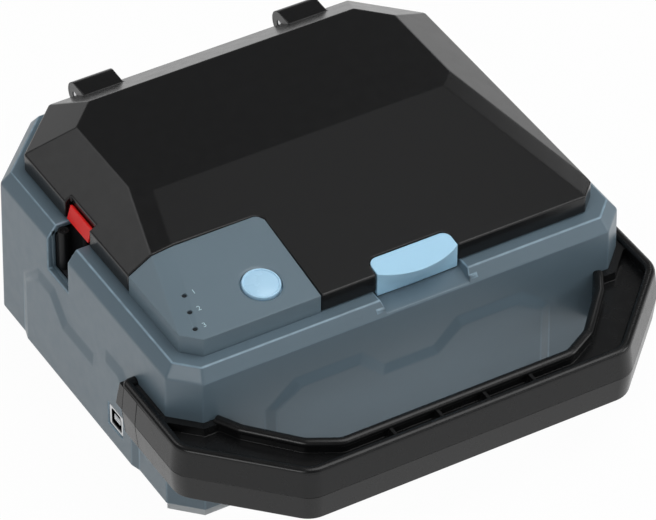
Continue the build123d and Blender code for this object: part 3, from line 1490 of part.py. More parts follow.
# Red guard over the exit: a leaning lip on a foot that bridges the tray's notch
lip_x = -skirt_half
lip_run = guard_lean / (guard_high - guard_low)
with BuildPart() as exit_guard:
    with BuildSketch(Plane((0, slot_y + guard_width / 2, 0), x_dir=(1, 0, 0), z_dir=(0, -1, 0))):
        web_top = tray_top + guard_foot_thick
        Polygon((lip_x, guard_low), (lip_x + guard_thick, guard_low),
                (lip_x + guard_thick + (tray_top - guard_low) * lip_run, tray_top),
                (guard_foot_inner, tray_top), (guard_foot_inner, web_top),
                (lip_x + guard_thick + (web_top - guard_low) * lip_run, web_top),
                (lip_x + guard_thick + guard_lean, guard_high), (lip_x + guard_lean, guard_high), align=None)
    extrude(amount=guard_width)
    add(box_between(-bay_half_width - tray_flange, guard_foot_inner, slot_y - guard_foot_width / 2,
                    slot_y + guard_foot_width / 2, tray_top, web_top))

exit_guard.part.label = "exit_guard"
export_step(exit_guard.part, "parts/exit_guard.step")

# Main board with the two sockets that show in the walls
board_top = board_z + board_thick
with BuildPart() as main_board:
    add(box_between(board_x - board_half, board_x + board_half, front + board_front, front + board_back,
                    board_z, board_top))
    extrude(plan_face(inset(base_plan, wall + board_margin), board_z), amount=board_thick,
            mode=Mode.INTERSECT)
    for x, y in boss_places:
        add(rod(x, y, boss_radius + board_margin, board_z, board_top), mode=Mode.SUBTRACT)

main_board.part.label = "main_board"
export_step(main_board.part, "parts/main_board.step")

with BuildPart() as usb_socket:
    add(box_between(usb_inner_x, usb_inner_x + usb_length, usb_y - usb_width / 2, usb_y + usb_width / 2,
                    usb_z - usb_height / 2, usb_z + usb_height / 2))
    opening_half = usb_width / 2 - 2 * usb_skin
    opening_low = usb_z - usb_height / 2 + 2 * usb_skin
    opening_high = usb_z + usb_height / 2 - 2 * usb_skin
    add(box_between(usb_inner_x, usb_inner_x + usb_length - 2 * usb_skin, usb_y - opening_half,
                    usb_y + opening_half, opening_low, opening_high), mode=Mode.SUBTRACT)
    add(box_between(usb_inner_x + usb_skin, usb_inner_x + usb_length - usb_skin, usb_y - usb_tongue_width / 2,
                    usb_y + usb_tongue_width / 2, usb_z - usb_tongue_height / 2,
                    usb_z + usb_tongue_height / 2))

usb_socket.part.label = "usb_socket"
export_step(usb_socket.part, "parts/usb_socket.step")

inlet_face_y = back + wall_draft * (bevel_z - inlet_z) / wall_height
with BuildPart() as power_inlet:
    add(box_between(inlet_x - inlet_width / 2, inlet_x + inlet_width / 2, inlet_face_y - inlet_length,
                    inlet_face_y, inlet_z - inlet_height / 2, inlet_z + inlet_height / 2))
    with Locations((inlet_x, inlet_face_y, inlet_z)):
        Cylinder(inlet_bore, 2 * inlet_bore_length, rotation=(90, 0, 0), mode=Mode.SUBTRACT)
        Cylinder(inlet_pin, 2 * (inlet_length - inlet_pin), rotation=(90, 0, 0))
    add(box_between(inlet_x - inlet_bore, inlet_x + inlet_bore, inlet_face_y - inlet_pin, back + body_depth,
                    inlet_z - inlet_bore, inlet_z + inlet_bore), mode=Mode.SUBTRACT)

power_inlet.part.label = "power_inlet"
export_step(power_inlet.part, "parts/power_inlet.step")

with BuildPart() as battery_pack:
    add(box_between(battery_x - battery_width / 2, battery_x + battery_width / 2,
                    battery_y - battery_depth / 2,
                    battery_y + battery_depth / 2, base_z + base_thick, base_z + base_thick + battery_height))

battery_pack.part.label = "battery_pack"
export_step(battery_pack.part, "parts/battery_pack.step")
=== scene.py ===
"""Looks of the cable label printer: camera, studio, and each piece's finish, in assembly order."""
import math

import bmesh
import bpy
from mathutils import Matrix, Vector
from mathutils.bvhtree import BVHTree


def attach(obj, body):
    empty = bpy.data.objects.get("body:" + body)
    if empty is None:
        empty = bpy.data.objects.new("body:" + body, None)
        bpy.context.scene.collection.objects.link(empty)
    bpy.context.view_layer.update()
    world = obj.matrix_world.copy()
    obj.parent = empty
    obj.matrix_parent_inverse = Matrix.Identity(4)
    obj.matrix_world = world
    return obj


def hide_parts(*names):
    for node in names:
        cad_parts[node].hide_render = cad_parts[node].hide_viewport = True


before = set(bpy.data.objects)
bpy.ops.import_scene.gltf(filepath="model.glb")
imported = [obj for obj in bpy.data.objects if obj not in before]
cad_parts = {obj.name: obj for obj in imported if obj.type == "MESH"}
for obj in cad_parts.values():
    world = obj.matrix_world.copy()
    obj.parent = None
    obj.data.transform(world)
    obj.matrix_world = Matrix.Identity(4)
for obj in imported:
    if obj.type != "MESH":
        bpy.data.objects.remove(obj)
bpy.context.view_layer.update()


# Camera: a long lens two and a half metres away, above the printer's left front corner.
# It looks down at forty degrees, so the near edges run almost as straight as in a drawing.
def in_scene(name, data):
    """A new object in the scene, unturned and at its origin."""
    thing = bpy.data.objects.new(name, data)
    bpy.context.scene.collection.objects.link(thing)
    return thing


sight_yaw = math.radians(30.26)
sight_pitch = math.radians(39.93)
sight_roll = math.radians(0.128)
sight_distance = 2.4837
sight_point = Vector((0, 0.0218, 0.05))
sight_shift = (0.01171, -0.00869)
forward = Vector((
    math.sin(sight_yaw) * math.cos(sight_pitch),
    math.cos(sight_yaw) * math.cos(sight_pitch),
    -math.sin(sight_pitch),
))
level = Vector((math.cos(sight_yaw), -math.sin(sight_yaw), 0))
raised = level.cross(forward)
rightward = math.cos(sight_roll) * level + math.sin(sight_roll) * raised
upward = -math.sin(sight_roll) * level + math.cos(sight_roll) * raised
stand = sight_point - sight_distance * forward + sight_shift[0] * rightward + sight_shift[1] * upward
camera_data = bpy.data.cameras.new("camera")
camera_data.sensor_width = 36
camera_data.lens = 278.1
camera_data.clip_start = 0.1
camera_data.clip_end = 30
camera = in_scene("camera", camera_data)
camera.matrix_world = Matrix.Translation(stand) @ Matrix((
    (rightward.x, upward.x, -forward.x, 0),
    (rightward.y, upward.y, -forward.y, 0),
    (rightward.z, upward.z, -forward.z, 0),
    (0, 0, 0, 1),
))
bpy.context.scene.camera = camera
bpy.context.scene.view_settings.view_transform = "Standard"


# Studio: a white sweep under the printer, a broad ceiling light, a weak one at the right, and seven
# soft ones round the room that each lift one slope or wall. The air darkens towards the ceiling.
def put(nodes, kind, values=None, **settings):
    """A new node: first its settings, then the values of its inputs, by name or by number."""
    node = nodes.new(kind)
    for setting, choice in settings.items():
        setattr(node, setting, choice)
    for socket, value in (values or {}).items():
        node.inputs[socket].default_value = value
    return node


def wire(links, *runs):
    """Joins nodes: each run is a node and its output, then the next node and its input."""
    for giver, output, taker, socket in runs:
        links.new(giver.outputs[output], taker.inputs[socket])


def looked_at(nodes, links):
    """One for the camera's, a reflection's or a clear part's look, and nought for light that falls."""
    ray = put(nodes, "ShaderNodeLightPath")
    eye = put(nodes, "ShaderNodeMath", operation="MAXIMUM")
    look = put(nodes, "ShaderNodeMath", operation="MAXIMUM")
    wire(links,
         (ray, "Is Camera Ray", eye, 0),
         (ray, "Is Glossy Ray", eye, 1),
         (eye, "Value", look, 0),
         (ray, "Is Transmission Ray", look, 1))
    return look


lamps = (
    ("ceiling light", (0.6, -0.35, 1.8), (1.4, 1.4), 17.5, 0.6),
    ("right light", (0.95, -0.55, 0.55), (0.5, 0.5), 2.6, 0.3),
    ("left corner light", (-1.42, -0.86, 1.15), (0.8, 0.8), 8.5, 1.0),
    ("back corner light", (-0.56, 1.34, 1.41), (1.0, 1.0), 3.4, 1.0),
    ("front light", (0.85, -1.82, 1.0), (0.9, 0.4), 1.8, 1.0),
    ("upper left light", (-0.62, 0.88, 1.75), (0.5, 0.5), 1.6, 1.0),
    ("slope light", (0.73, 0.83, 1.59), (0.5, 0.5), 0.25, 1.0),
    ("back right light", (1.36, 1.32, 0.63), (0.6, 0.6), 1.0, 1.0),
    ("right strip light", (1.36, 0.84, 1.2), (0.3, 0.3), 0.8, 1.0),
)
for lamp_name, lamp_place, lamp_size, lamp_power, lamp_shine in lamps:
    lamp_data = bpy.data.lights.new(lamp_name, "AREA")
    lamp_data.shape = "RECTANGLE"
    lamp_data.size, lamp_data.size_y = lamp_size
    lamp_data.energy = lamp_power
    lamp_data.specular_factor = lamp_shine
    lamp = in_scene(lamp_name, lamp_data)
    lamp.location = lamp_place
    lamp.rotation_mode = "QUATERNION"
    lamp.rotation_quaternion = (sight_point - Vector(lamp_place)).to_track_quat("-Z", "Y")

air = bpy.data.worlds.new("studio air")
air.use_nodes = True
bpy.context.scene.world = air
sky = air.node_tree.nodes
sky_links = air.node_tree.links
sky.clear()
sky_out = put(sky, "ShaderNodeOutputWorld")
sky_mix = put(sky, "ShaderNodeMixShader")
sky_light = put(sky, "ShaderNodeBackground", {"Color": (0.92, 0.96, 1.0, 1), "Strength": 0.16})
sky_seen = put(sky, "ShaderNodeBackground", {"Strength": 1.0})
sky_direction = put(sky, "ShaderNodeTexCoord")
sky_split = put(sky, "ShaderNodeSeparateXYZ")
sky_steps = {"From Min": 0.0, "From Max": 0.36, "To Min": 0.66, "To Max": 0.12}
sky_fade = put(sky, "ShaderNodeMapRange", sky_steps, interpolation_type="SMOOTHSTEP")
wire(sky_links,
     (sky_direction, "Generated", sky_split, "Vector"),
     (sky_split, "Z", sky_fade, "Value"),
     (sky_fade, "Result", sky_seen, "Color"),
     (looked_at(sky, sky_links), "Value", sky_mix, "Fac"),
     (sky_light, "Background", sky_mix, 1),
     (sky_seen, "Background", sky_mix, 2),
     (sky_mix, "Shader", sky_out, "Surface"))

sweep_half = 9.0
sweep_corners = [(x * sweep_half, y * sweep_half, 0) for x, y in ((-1, -1), (1, -1), (1, 1), (-1, 1))]
sweep_mesh = bpy.data.meshes.new("floor")
sweep_mesh.from_pydata(sweep_corners, [], [(0, 1, 2, 3)])
floor = in_scene("floor", sweep_mesh)
paper = bpy.data.materials.new("white paper")
paper.use_nodes = True
sheet = paper.node_tree.nodes
sheet_links = paper.node_tree.links
sheet.clear()
sheet_out = put(sheet, "ShaderNodeOutputMaterial")
sheet_matt = put(sheet, "ShaderNodeBsdfDiffuse", {"Color": (0.8, 0.8, 0.8, 1)})
sheet_white = put(sheet, "ShaderNodeEmission", {"Strength": 1.0})
sheet_clear = put(sheet, "ShaderNodeBsdfTransparent")
sheet_mix = put(sheet, "ShaderNodeMixShader")
sheet_under = put(sheet, "ShaderNodeMixShader")
sheet_side = put(sheet, "ShaderNodeNewGeometry")
sheet_share = put(sheet, "ShaderNodeMath", {1: 0.97}, operation="MULTIPLY")
wire(sheet_links,
     (looked_at(sheet, sheet_links), "Value", sheet_share, 0),
     (sheet_share, "Value", sheet_mix, "Fac"),
     (sheet_matt, "BSDF", sheet_mix, 1),
     (sheet_white, "Emission", sheet_mix, 2),
     (sheet_side, "Backfacing", sheet_under, "Fac"),
     (sheet_mix, "Shader", sheet_under, 1),
     (sheet_clear, "BSDF", sheet_under, 2),
     (sheet_under, "Shader", sheet_out, "Surface"))
sweep_mesh.materials.append(paper)

# Base plate: the flat pan that closes the case from below and carries the board and the battery.
# Injection moulded in dark grey plastic, with the small edge rounding that lets it leave its mould.
weld_gap = 0.000002
speck = 0.000001


def new_finish(name):
    """A new material, with its nodes, its links and its surface."""
    finish = bpy.data.materials.new(name)
    finish.use_nodes = True
    nodes = finish.node_tree.nodes
    return finish, nodes, finish.node_tree.links, nodes["Principled BSDF"]


def moulded_plastic(name, colour, gloss, grain=0.0004, depth=0.00001, reflect=0.5, ridge_highlight=0.25, mottle=0.05,
                    round_off=0.0):
    """Plastic from a mould: faint flow marks, a fine sparked grain, and a painted highlight: sharp ridge edges
    painted paler in noisy patches.
    """
    highlight_lift = 2.9
    haze_share = 0.1
    finish, nodes, links, surface = new_finish(name)
    surface.inputs["Specular IOR Level"].default_value = reflect
    darker = (*[part * (1 - mottle) for part in colour], 1)
    paler = (*[part * (1 + mottle) for part in colour], 1)
    highlight_colour = (*[min(1, part * highlight_lift) for part in colour], 1)
    haze_steps = {"From Min": 0.3, "From Max": 0.7}
    haze_steps["To Min"] = gloss * (1 - haze_share)
    haze_steps["To Max"] = gloss * (1 + haze_share)
    place = put(nodes, "ShaderNodeTexCoord")
    flow = put(nodes, "ShaderNodeTexNoise", {"Scale": 24, "Detail": 4, "Roughness": 0.6})
    body_tint = put(nodes, "ShaderNodeMix", {"A": darker, "B": paler}, data_type="RGBA")
    # painted highlight: vertices that moulding() marks on sharp ridges get a paler colour, broken up by noise
    edge = put(nodes, "ShaderNodeAttribute", attribute_name="ridge_highlight")
    scuff_and_highlight_noise = put(nodes, "ShaderNodeTexNoise", {"Scale": 160, "Detail": 5})
    highlight_mask = put(nodes, "ShaderNodeMath", operation="MULTIPLY")
    highlight_amount = put(nodes, "ShaderNodeMath", {1: ridge_highlight}, operation="MULTIPLY")
    highlight_tint = put(nodes, "ShaderNodeMix", {"B": highlight_colour}, data_type="RGBA")
    spark = put(nodes, "ShaderNodeTexNoise", {"Scale": 1 / grain, "Detail": 2})
    dents = put(nodes, "ShaderNodeBump", {"Strength": 0.6, "Distance": depth})
    haze = put(nodes, "ShaderNodeMapRange", haze_steps)
    for texture in (flow, scuff_and_highlight_noise, spark):
        wire(links, (place, "Object", texture, "Vector"))
    wire(links,
         (flow, "Fac", body_tint, "Factor"),
         (edge, "Fac", highlight_mask, 0),
         (scuff_and_highlight_noise, "Fac", highlight_mask, 1),
         (highlight_mask, "Value", highlight_amount, 0),
         (highlight_amount, "Value", highlight_tint, "Factor"),
         (body_tint, "Result", highlight_tint, "A"),
         (highlight_tint, "Result", surface, "Base Color"),
         (spark, "Fac", dents, "Height"),
         (dents, "Normal", surface, "Normal"),
         (scuff_and_highlight_noise, "Fac", haze, "Value"),
         (haze, "Result", surface, "Roughness"))
    if round_off:
        soft_edge = put(nodes, "ShaderNodeBevel", {"Radius": round_off}, samples=6)
        wire(links, (soft_edge, "Normal", dents, "Normal"))
    return finish


def room_beside(edge, face):
    """How far the face runs from one of its edges before it meets another that isn't joined to it."""
    ends = [vert.co for vert in edge.verts]
    stations = [ends[0].lerp(ends[1], share) for share in (0.1, 0.5, 0.9)]
    least = math.inf
    for other in face.edges:
        if other is edge or set(other.verts) & set(edge.verts):
            continue
        start, finish = (vert.co for vert in other.verts)
        run = finish - start
        for station in stations:
            share = max(0, min(1, (station - start).dot(run) / max(run.length_squared, speck ** 2)))
            least = min(least, (station - start - share * run).length)
    return least


def moulding(node, finish, rounding, body, facet=0.004, turn=3.5, steps=3, clamp=True):
    """A shell's own form with its hard edges rounded as the mould leaves them, for the plain CAD shell."""
    flat_turn = 0.4
    sure_turn = 28
    room_share = 0.4
    stray_share = 0.55
    highlight_turn = 12.5
    highlight_range = 3
    crease = 38
    even_weight = 80
    form = bmesh.new()
    form.from_mesh(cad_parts[node].data)
    bmesh.ops.remove_doubles(form, verts=form.verts, dist=weld_gap)
    bmesh.ops.dissolve_limit(form, angle_limit=math.radians(flat_turn), verts=form.verts, edges=form.edges)
    share = form.edges.layers.float.new("bevel_weight_edge")
    for edge in form.edges:
        if len(edge.link_faces) != 2:
            continue
        bend = math.degrees(edge.calc_face_angle(0))
        if bend < turn or edge.calc_length() < 2 * rounding:
            continue
        room = min(room_beside(edge, face) for face in edge.link_faces)
        if bend > sure_turn or room > facet:
            edge[share] = min(1.0, room_share * room / rounding)
    mesh = bpy.data.meshes.new(node + "_moulding")
    form.to_mesh(mesh)
    form.free()
    for spare in ("custom_normal", "sharp_face", "sharp_edge"):
        if spare in mesh.attributes:
            mesh.attributes.remove(mesh.attributes[spare])
    blank = in_scene(node + "_blank", mesh)
    rounder = blank.modifiers.new("rounding", "BEVEL")
    rounder.width = rounding
    rounder.segments = steps
    rounder.limit_method = "WEIGHT"
    rounder.use_clamp_overlap = clamp
    bpy.context.view_layer.update()
    shaped = bpy.data.meshes.new_from_object(blank.evaluated_get(bpy.context.evaluated_depsgraph_get()))
    bpy.data.objects.remove(blank)
    shaped.name = node + "_moulding"
    plain = BVHTree.FromObject(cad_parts[node], bpy.context.evaluated_depsgraph_get())
    form = bmesh.new()
    form.from_mesh(shaped)
    for vert in form.verts:
        on_skin, _, _, strayed = plain.find_nearest(vert.co)
        if strayed > rounding * stray_share:
            vert.co = on_skin
    bmesh.ops.dissolve_degenerate(form, dist=speck, edges=form.edges)
    # Marks the narrow rounded faces along sharp ridges, where the finish paints a paler highlight.
    ridge_highlight = form.verts.layers.float.new("ridge_highlight")
    for vert in form.verts:
        lengths = [max(edge.calc_length() for edge in face.edges) for face in vert.link_faces]
        areas = [face.calc_area() for face in vert.link_faces]
        widest = max((area / max(length, speck) for area, length in zip(areas, lengths)), default=1)
        turns = [edge.calc_face_angle_signed(0) for edge in vert.link_edges if len(edge.link_faces) == 2]
        ridge = (math.degrees(max(turns, default=0)) - highlight_turn) / highlight_range
        vert[ridge_highlight] = max(0.0, min(1.0, ridge)) if widest < rounding else 0.0
    for face in form.faces:
        face.smooth = True
    form.to_mesh(shaped)
    form.free()
    shaped.set_sharp_from_angle(angle=math.radians(crease))
    shaped.materials.clear()
    shaped.materials.append(finish)
    piece = in_scene(node + "_moulding", shaped)
    even = piece.modifiers.new("even shading", "WEIGHTED_NORMAL")
    even.keep_sharp = True
    even.weight = even_weight
    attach(piece, body)
    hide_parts(node)
    return piece


inner_grey = moulded_plastic("inner_plastic_finish", (0.028, 0.030, 0.033), 0.5)
base_moulding = moulding("base_plate", inner_grey, rounding=0.0004, body="base")

# Feet: four corner pads of pale grey rubber, pressed onto the underside of the base plate.
# Each sole is cut to the plan of its corner and has a fine moulded grain.
foot_grey = moulded_plastic("foot_rubber_finish", (0.60, 0.62, 0.63), 0.75, grain=0.0006, ridge_highlight=0.1)
foot_pads = moulding("feet", foot_grey, rounding=0.0006, body="base")


# Screws: pan heads in zinc-plated steel, each with a cross recess pressed into its head.
# They hold the base plate, the tray, the panel, the lid's liner and the handle.
def zinc_steel(name, colour, gloss, streak):
    """Plated steel: a bright ground with faint rolling streaks and small dull spots."""
    ground_share = 0.82
    bright_share = 0.75
    dull_share = 1.35
    finish, nodes, links, surface = new_finish(name)
    surface.inputs["Metallic"].default_value = 1.0
    ground_dark = (*[part * ground_share for part in colour], 1)
    dull_steps = {"From Min": 0.35, "From Max": 0.65}
    dull_steps["To Min"] = gloss * bright_share
    dull_steps["To Max"] = gloss * dull_share
    place = put(nodes, "ShaderNodeTexCoord")
    along = put(nodes, "ShaderNodeMapping", {"Scale": streak})
    rolled = put(nodes, "ShaderNodeTexNoise", {"Scale": 300, "Detail": 4})
    spots = put(nodes, "ShaderNodeTexNoise", {"Scale": 90, "Detail": 5})
    ground = put(nodes, "ShaderNodeMix", {"A": ground_dark, "B": (*colour, 1)}, data_type="RGBA")
    dull = put(nodes, "ShaderNodeMapRange", dull_steps)
    lines = put(nodes, "ShaderNodeBump", {"Strength": 0.25, "Distance": 0.00001})
    wire(links,
         (place, "Object", along, "Vector"),
         (along, "Vector", rolled, "Vector"),
         (place, "Object", spots, "Vector"),
         (spots, "Fac", ground, "Factor"),
         (ground, "Result", surface, "Base Color"),
         (rolled, "Fac", lines, "Height"),
         (lines, "Normal", surface, "Normal"),
         (spots, "Fac", dull, "Value"),
         (dull, "Result", surface, "Roughness"))
    return finish


def coat(finish, *nodes):
    """Gives carried-over CAD nodes their finish."""
    for node in nodes:
        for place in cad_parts[node].material_slots:
            place.material = finish


def new_tree(name, kinds):
    """A Geometry Nodes tree with its two ends, and the identifiers of its inputs by name."""
    tree = bpy.data.node_groups.new(name, "GeometryNodeTree")
    tree.interface.new_socket(name="Geometry", in_out="OUTPUT", socket_type="NodeSocketGeometry")
    inputs = {}
    for label, kind in {"Geometry": "Geometry", **kinds, "Finish": "Material"}.items():
        socket = tree.interface.new_socket(name=label, in_out="INPUT", socket_type="NodeSocket" + kind)
        inputs[label] = socket.identifier
    return tree, inputs, tree.nodes.new("NodeGroupInput"), tree.nodes.new("NodeGroupOutput")


def hand_out(tree, given, made, last, output):
    """Makes what the last node gives real, dresses it in the given finish and hands it out."""
    real = put(tree.nodes, "GeometryNodeRealizeInstances")
    dressed = put(tree.nodes, "GeometryNodeSetMaterial")
    wire(tree.links,
         (last, output, real, "Geometry"),
         (real, "Geometry", dressed, "Geometry"),
         (given, "Finish", dressed, "Material"),
         (dressed, "Geometry", made, "Geometry"))


def screw_maker():
    """The tree that puts a domed head with a cross recess, and its shank, at every point of a mesh."""
    dome_share = 0.4
    wing_long = 1.15
    wing_wide = 0.24
    sizes = ("Head radius", "Head height", "Shank radius", "Shank length")
    tree, inputs, given, made = new_tree("pan_head_screw", dict.fromkeys(sizes, "Float"))
    nodes = tree.nodes
    links = tree.links

    def fed(kind, *values, **settings):
        """The output of a node whose inputs take plain values or other nodes' sockets."""
        node = put(nodes, kind, **settings)
        for socket, value in zip(node.inputs, values):
            if isinstance(value, bpy.types.NodeSocket):
                links.new(value, socket)
            else:
                socket.default_value = value
        return node.outputs[0]

    def worked(operation, first, second):
        """A sum on two values or sockets."""
        return fed("ShaderNodeMath", first, second, operation=operation)

    head_radius = given.outputs["Head radius"]
    head_height = given.outputs["Head height"]
    head = put(nodes, "GeometryNodeMeshCylinder", {"Vertices": 32, "Fill Segments": 5})
    links.new(head_radius, head.inputs["Radius"])
    links.new(head_height, head.inputs["Depth"])
    spot = put(nodes, "GeometryNodeInputPosition")
    spot_parts = put(nodes, "ShaderNodeSeparateXYZ")
    wire(links, (spot, "Position", spot_parts, "Vector"))
    across = worked("POWER", spot_parts.outputs["X"], 2)
    along = worked("POWER", spot_parts.outputs["Y"], 2)
    square = worked("ADD", across, along)
    outness = worked("DIVIDE", square, worked("POWER", head_radius, 2))
    fall = worked("MULTIPLY", outness, worked("MULTIPLY", head_height, dome_share))
    upper = worked("GREATER_THAN", spot_parts.outputs["Z"], 0)
    sink = worked("ADD", worked("MULTIPLY", fall, upper), worked("MULTIPLY", head_height, 0.5))
    dome = put(nodes, "GeometryNodeSetPosition")
    wire(links, (head, "Mesh", dome, "Geometry"))
    links.new(fed("ShaderNodeCombineXYZ", 0, 0, worked("MULTIPLY", sink, -1)), dome.inputs["Offset"])
    recess = put(nodes, "GeometryNodeMeshBoolean", operation="DIFFERENCE")
    wire(links, (dome, "Geometry", recess, "Mesh 1"))
    for long_way, short_way in ((wing_long, wing_wide), (wing_wide, wing_long)):
        wing = put(nodes, "GeometryNodeMeshCube")
        wing_x = worked("MULTIPLY", head_radius, long_way)
        wing_y = worked("MULTIPLY", head_radius, short_way)
        links.new(fed("ShaderNodeCombineXYZ", wing_x, wing_y, head_height), wing.inputs["Size"])
        wire(links, (wing, "Mesh", recess, "Mesh 2"))
    shank = put(nodes, "GeometryNodeMeshCylinder", {"Vertices": 20})
    under = put(nodes, "GeometryNodeTransform")
    depth = worked("ADD", head_height, worked("MULTIPLY", given.outputs["Shank length"], 0.5))
    links.new(fed("ShaderNodeCombineXYZ", 0, 0, worked("MULTIPLY", depth, -1)), under.inputs["Translation"])
    whole = put(nodes, "GeometryNodeJoinGeometry")
    facing = put(nodes, "GeometryNodeInputNamedAttribute", {"Name": "facing"}, data_type="FLOAT_VECTOR")
    turned = put(nodes, "FunctionNodeAlignRotationToVector", axis="Z")
    places = put(nodes, "GeometryNodeInstanceOnPoints")
    wire(links,
         (given, "Shank radius", shank, "Radius"),
         (given, "Shank length", shank, "Depth"),
         (shank, "Mesh", under, "Geometry"),
         (recess, "Mesh", whole, "Geometry"),
         (under, "Geometry", whole, "Geometry"),
         (facing, "Attribute", turned, "Vector"),
         (given, "Geometry", places, "Points"),
         (whole, "Geometry", places, "Instance"),
         (turned, "Rotation", places, "Rotation"))
    hand_out(tree, given, made, places, "Instances")
    return tree, inputs


def grown_mesh(name, seed_mesh, maker, settings):
    """Runs a maker's tree on a seed mesh and gives back the plain mesh that it makes."""
    tree, inputs = maker
    seed = in_scene(name + "_seed", seed_mesh)
    grower = seed.modifiers.new(name, "NODES")
    grower.node_group = tree
    for label, value in settings.items():
        grower[inputs[label]] = value
    bpy.context.view_layer.update()
    grown = bpy.data.meshes.new_from_object(seed.evaluated_get(bpy.context.evaluated_depsgraph_get()))
    bpy.data.objects.remove(seed)
    grown.name = name
    return grown


def separate_bodies(node):
    """The corners of the box round each loose body of a CAD node."""
    form = bmesh.new()
    form.from_mesh(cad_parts[node].data)
    bmesh.ops.remove_doubles(form, verts=form.verts, dist=weld_gap)
    waiting = set(form.verts)
    boxes = []
    for start in form.verts:
        if start not in waiting:
            continue
        waiting.remove(start)
        reached = [start]
        body = []
        while reached:
            vert = reached.pop()
            body.append(vert.co.copy())
            for edge in vert.link_edges:
                other = edge.other_vert(vert)
                if other in waiting:
                    waiting.remove(other)
                    reached.append(other)
        low = Vector([min(place[axis] for place in body) for axis in range(3)])
        high = Vector([max(place[axis] for place in body) for axis in range(3)])
        boxes.append((low, high))
    form.free()
    return boxes


def screws(node, body, axis, sense, head_height, shank_radius):
    """Real screws for a node's plain ones: sense 1 heads up the axis, -1 down it and 0 inwards."""
    seats = []
    ways = []
    for low, high in separate_bodies(node):
        middle = (low + high) / 2
        way = Vector((0, 0, 0))
        way[axis] = sense or (-1 if middle[axis] > 0 else 1)
        seat = middle.copy()
        seat[axis] = high[axis] if way[axis] > 0 else low[axis]
        seats.append(seat)
        ways.append(way)
        length = high[axis] - low[axis]
        across = (high - low)[(axis + 1) % 3] / 2
    seed_mesh = bpy.data.meshes.new(node + "_places")
    seed_mesh.from_pydata(seats, [], [])
    facing = seed_mesh.attributes.new("facing", "FLOAT_VECTOR", "POINT")
    for spot, way in zip(facing.data, ways):
        spot.vector = way
    grown = grown_mesh(node + "_cross_heads", seed_mesh, pan_head_screw, {
        "Head radius": across,
        "Head height": head_height,
        "Shank radius": shank_radius,
        "Shank length": length - head_height,
        "Finish": screw_zinc,
    })
    piece = in_scene(node + "_cross_heads", grown)
    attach(piece, body)
    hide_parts(node)
    return piece


screw_zinc = zinc_steel("screw_zinc", (0.62, 0.63, 0.64), 0.32, (1, 1, 1))
pan_head_screw = screw_maker()
screw_groups = (
    screws("base_screws", "base", axis=2, sense=-1, head_height=0.0012, shank_radius=0.0015),
    screws("tray_screws", "base", axis=2, sense=1, head_height=0.0010, shank_radius=0.0010),
    screws("panel_screws", "base", axis=2, sense=-1, head_height=0.0018, shank_radius=0.0015),
    screws("handle_screws", "base", axis=0, sense=0, head_height=0.0018, shank_radius=0.0015),
    screws("liner_screws", "lid", axis=2, sense=-1, head_height=0.0018, shank_radius=0.0015),
)


# Main board and panel board: green glass-fibre boards with their copper tracks under lacquer.
# The main board stands on the base plate's ribs; the panel board hangs under the control panel.
def lacquered_board(name):
    """Green lacquer over a grid of copper tracks, which show as raised, slightly paler lines."""
    finish, nodes, links, surface = new_finish(name)
    surface.inputs["Coat Weight"].default_value = 0.4
    place = put(nodes, "ShaderNodeTexCoord")
    tracks = put(nodes, "ShaderNodeTexBrick", {
        "Scale": 220,
        "Mortar Size": 0.06,
        "Color1": (0.012, 0.085, 0.035, 1),
        "Color2": (0.014, 0.100, 0.042, 1),
        "Mortar": (0.045, 0.190, 0.080, 1),
    })
    cloudy = put(nodes, "ShaderNodeTexNoise", {"Scale": 60})
    gloss = put(nodes, "ShaderNodeMapRange", {"To Min": 0.25, "To Max": 0.45})
    ridge = put(nodes, "ShaderNodeBump", {"Strength": 0.4, "Distance": 0.00003})
    wire(links,
         (place, "Object", tracks, "Vector"),
         (place, "Object", cloudy, "Vector"),
         (tracks, "Color", surface, "Base Color"),
         (cloudy, "Fac", gloss, "Value"),
         (gloss, "Result", surface, "Roughness"),
         (tracks, "Fac", ridge, "Height"),
         (ridge, "Normal", surface, "Normal"))
    return finish


board_green = lacquered_board("board_lacquer")
coat(board_green, "main_board", "panel_board")
coat(inner_grey, "button_switch")

# Battery pack: cells in a block, shrunk into a blue film that creases a little over its corners.
# It lies on the base plate.
battery_blue = moulded_plastic("battery_film", (0.03, 0.10, 0.24), 0.3, grain=0.004, depth=0.00012, ridge_highlight=0.1)
battery_block = moulding("battery_pack", battery_blue, rounding=0.0015, body="base")

# Data socket: a folded steel shell, pushed through the left wall with a narrow collar round its mouth.
# Inside it a pale tongue carries two gilt contacts on each of its flat sides.
shell_steel = zinc_steel("socket_shell", (0.66, 0.67, 0.68), 0.26, (6, 1, 6))
socket_shade_black = moulded_plastic("socket_painted_shade", (0.008, 0.008, 0.009), 0.6)
tongue_pale = moulded_plastic("socket_tongue", (0.72, 0.73, 0.74), 0.4, ridge_highlight=0.0)
gilt = zinc_steel("gilt_contact", (0.90, 0.66, 0.28), 0.2, (1, 1, 1))
socket_low, socket_high = separate_bodies("usb_socket")[0]
socket_y = (socket_low.y + socket_high.y) / 2
socket_z = (socket_low.z + socket_high.z) / 2
socket_half_y = (socket_high.y - socket_low.y) / 2
socket_half_z = (socket_high.z - socket_low.z) / 2
socket_corner = 0.0005
key_corner = 0.0014
collar_reach = 0.0009
collar_neck = 0.0001
collar_width = 0.0005
collar_round = 0.0002
mouth_wall = 0.0009
mouth_depth = 0.0142
mouth_round = 0.0003
lining_gap = 0.0002
lining_film = 0.0001
tongue_reach = 0.0004
tongue_half_y = 0.0030
tongue_half_z = 0.0017
tongue_round = 0.0003
tongue_corner = 0.0002
tip_corner = 0.0001
contact_depth = 0.0045
contact_off = 0.00125
contact_size = (0.0060, 0.0011, 0.0003)
collar_front = socket_low.x - collar_reach
collar_y = socket_half_y + collar_width
collar_z = socket_half_z + collar_width
mouth_y = socket_half_y - mouth_wall
mouth_z = socket_half_z - mouth_wall
mouth_back = socket_low.x + mouth_depth
tongue_front = socket_low.x - tongue_reach


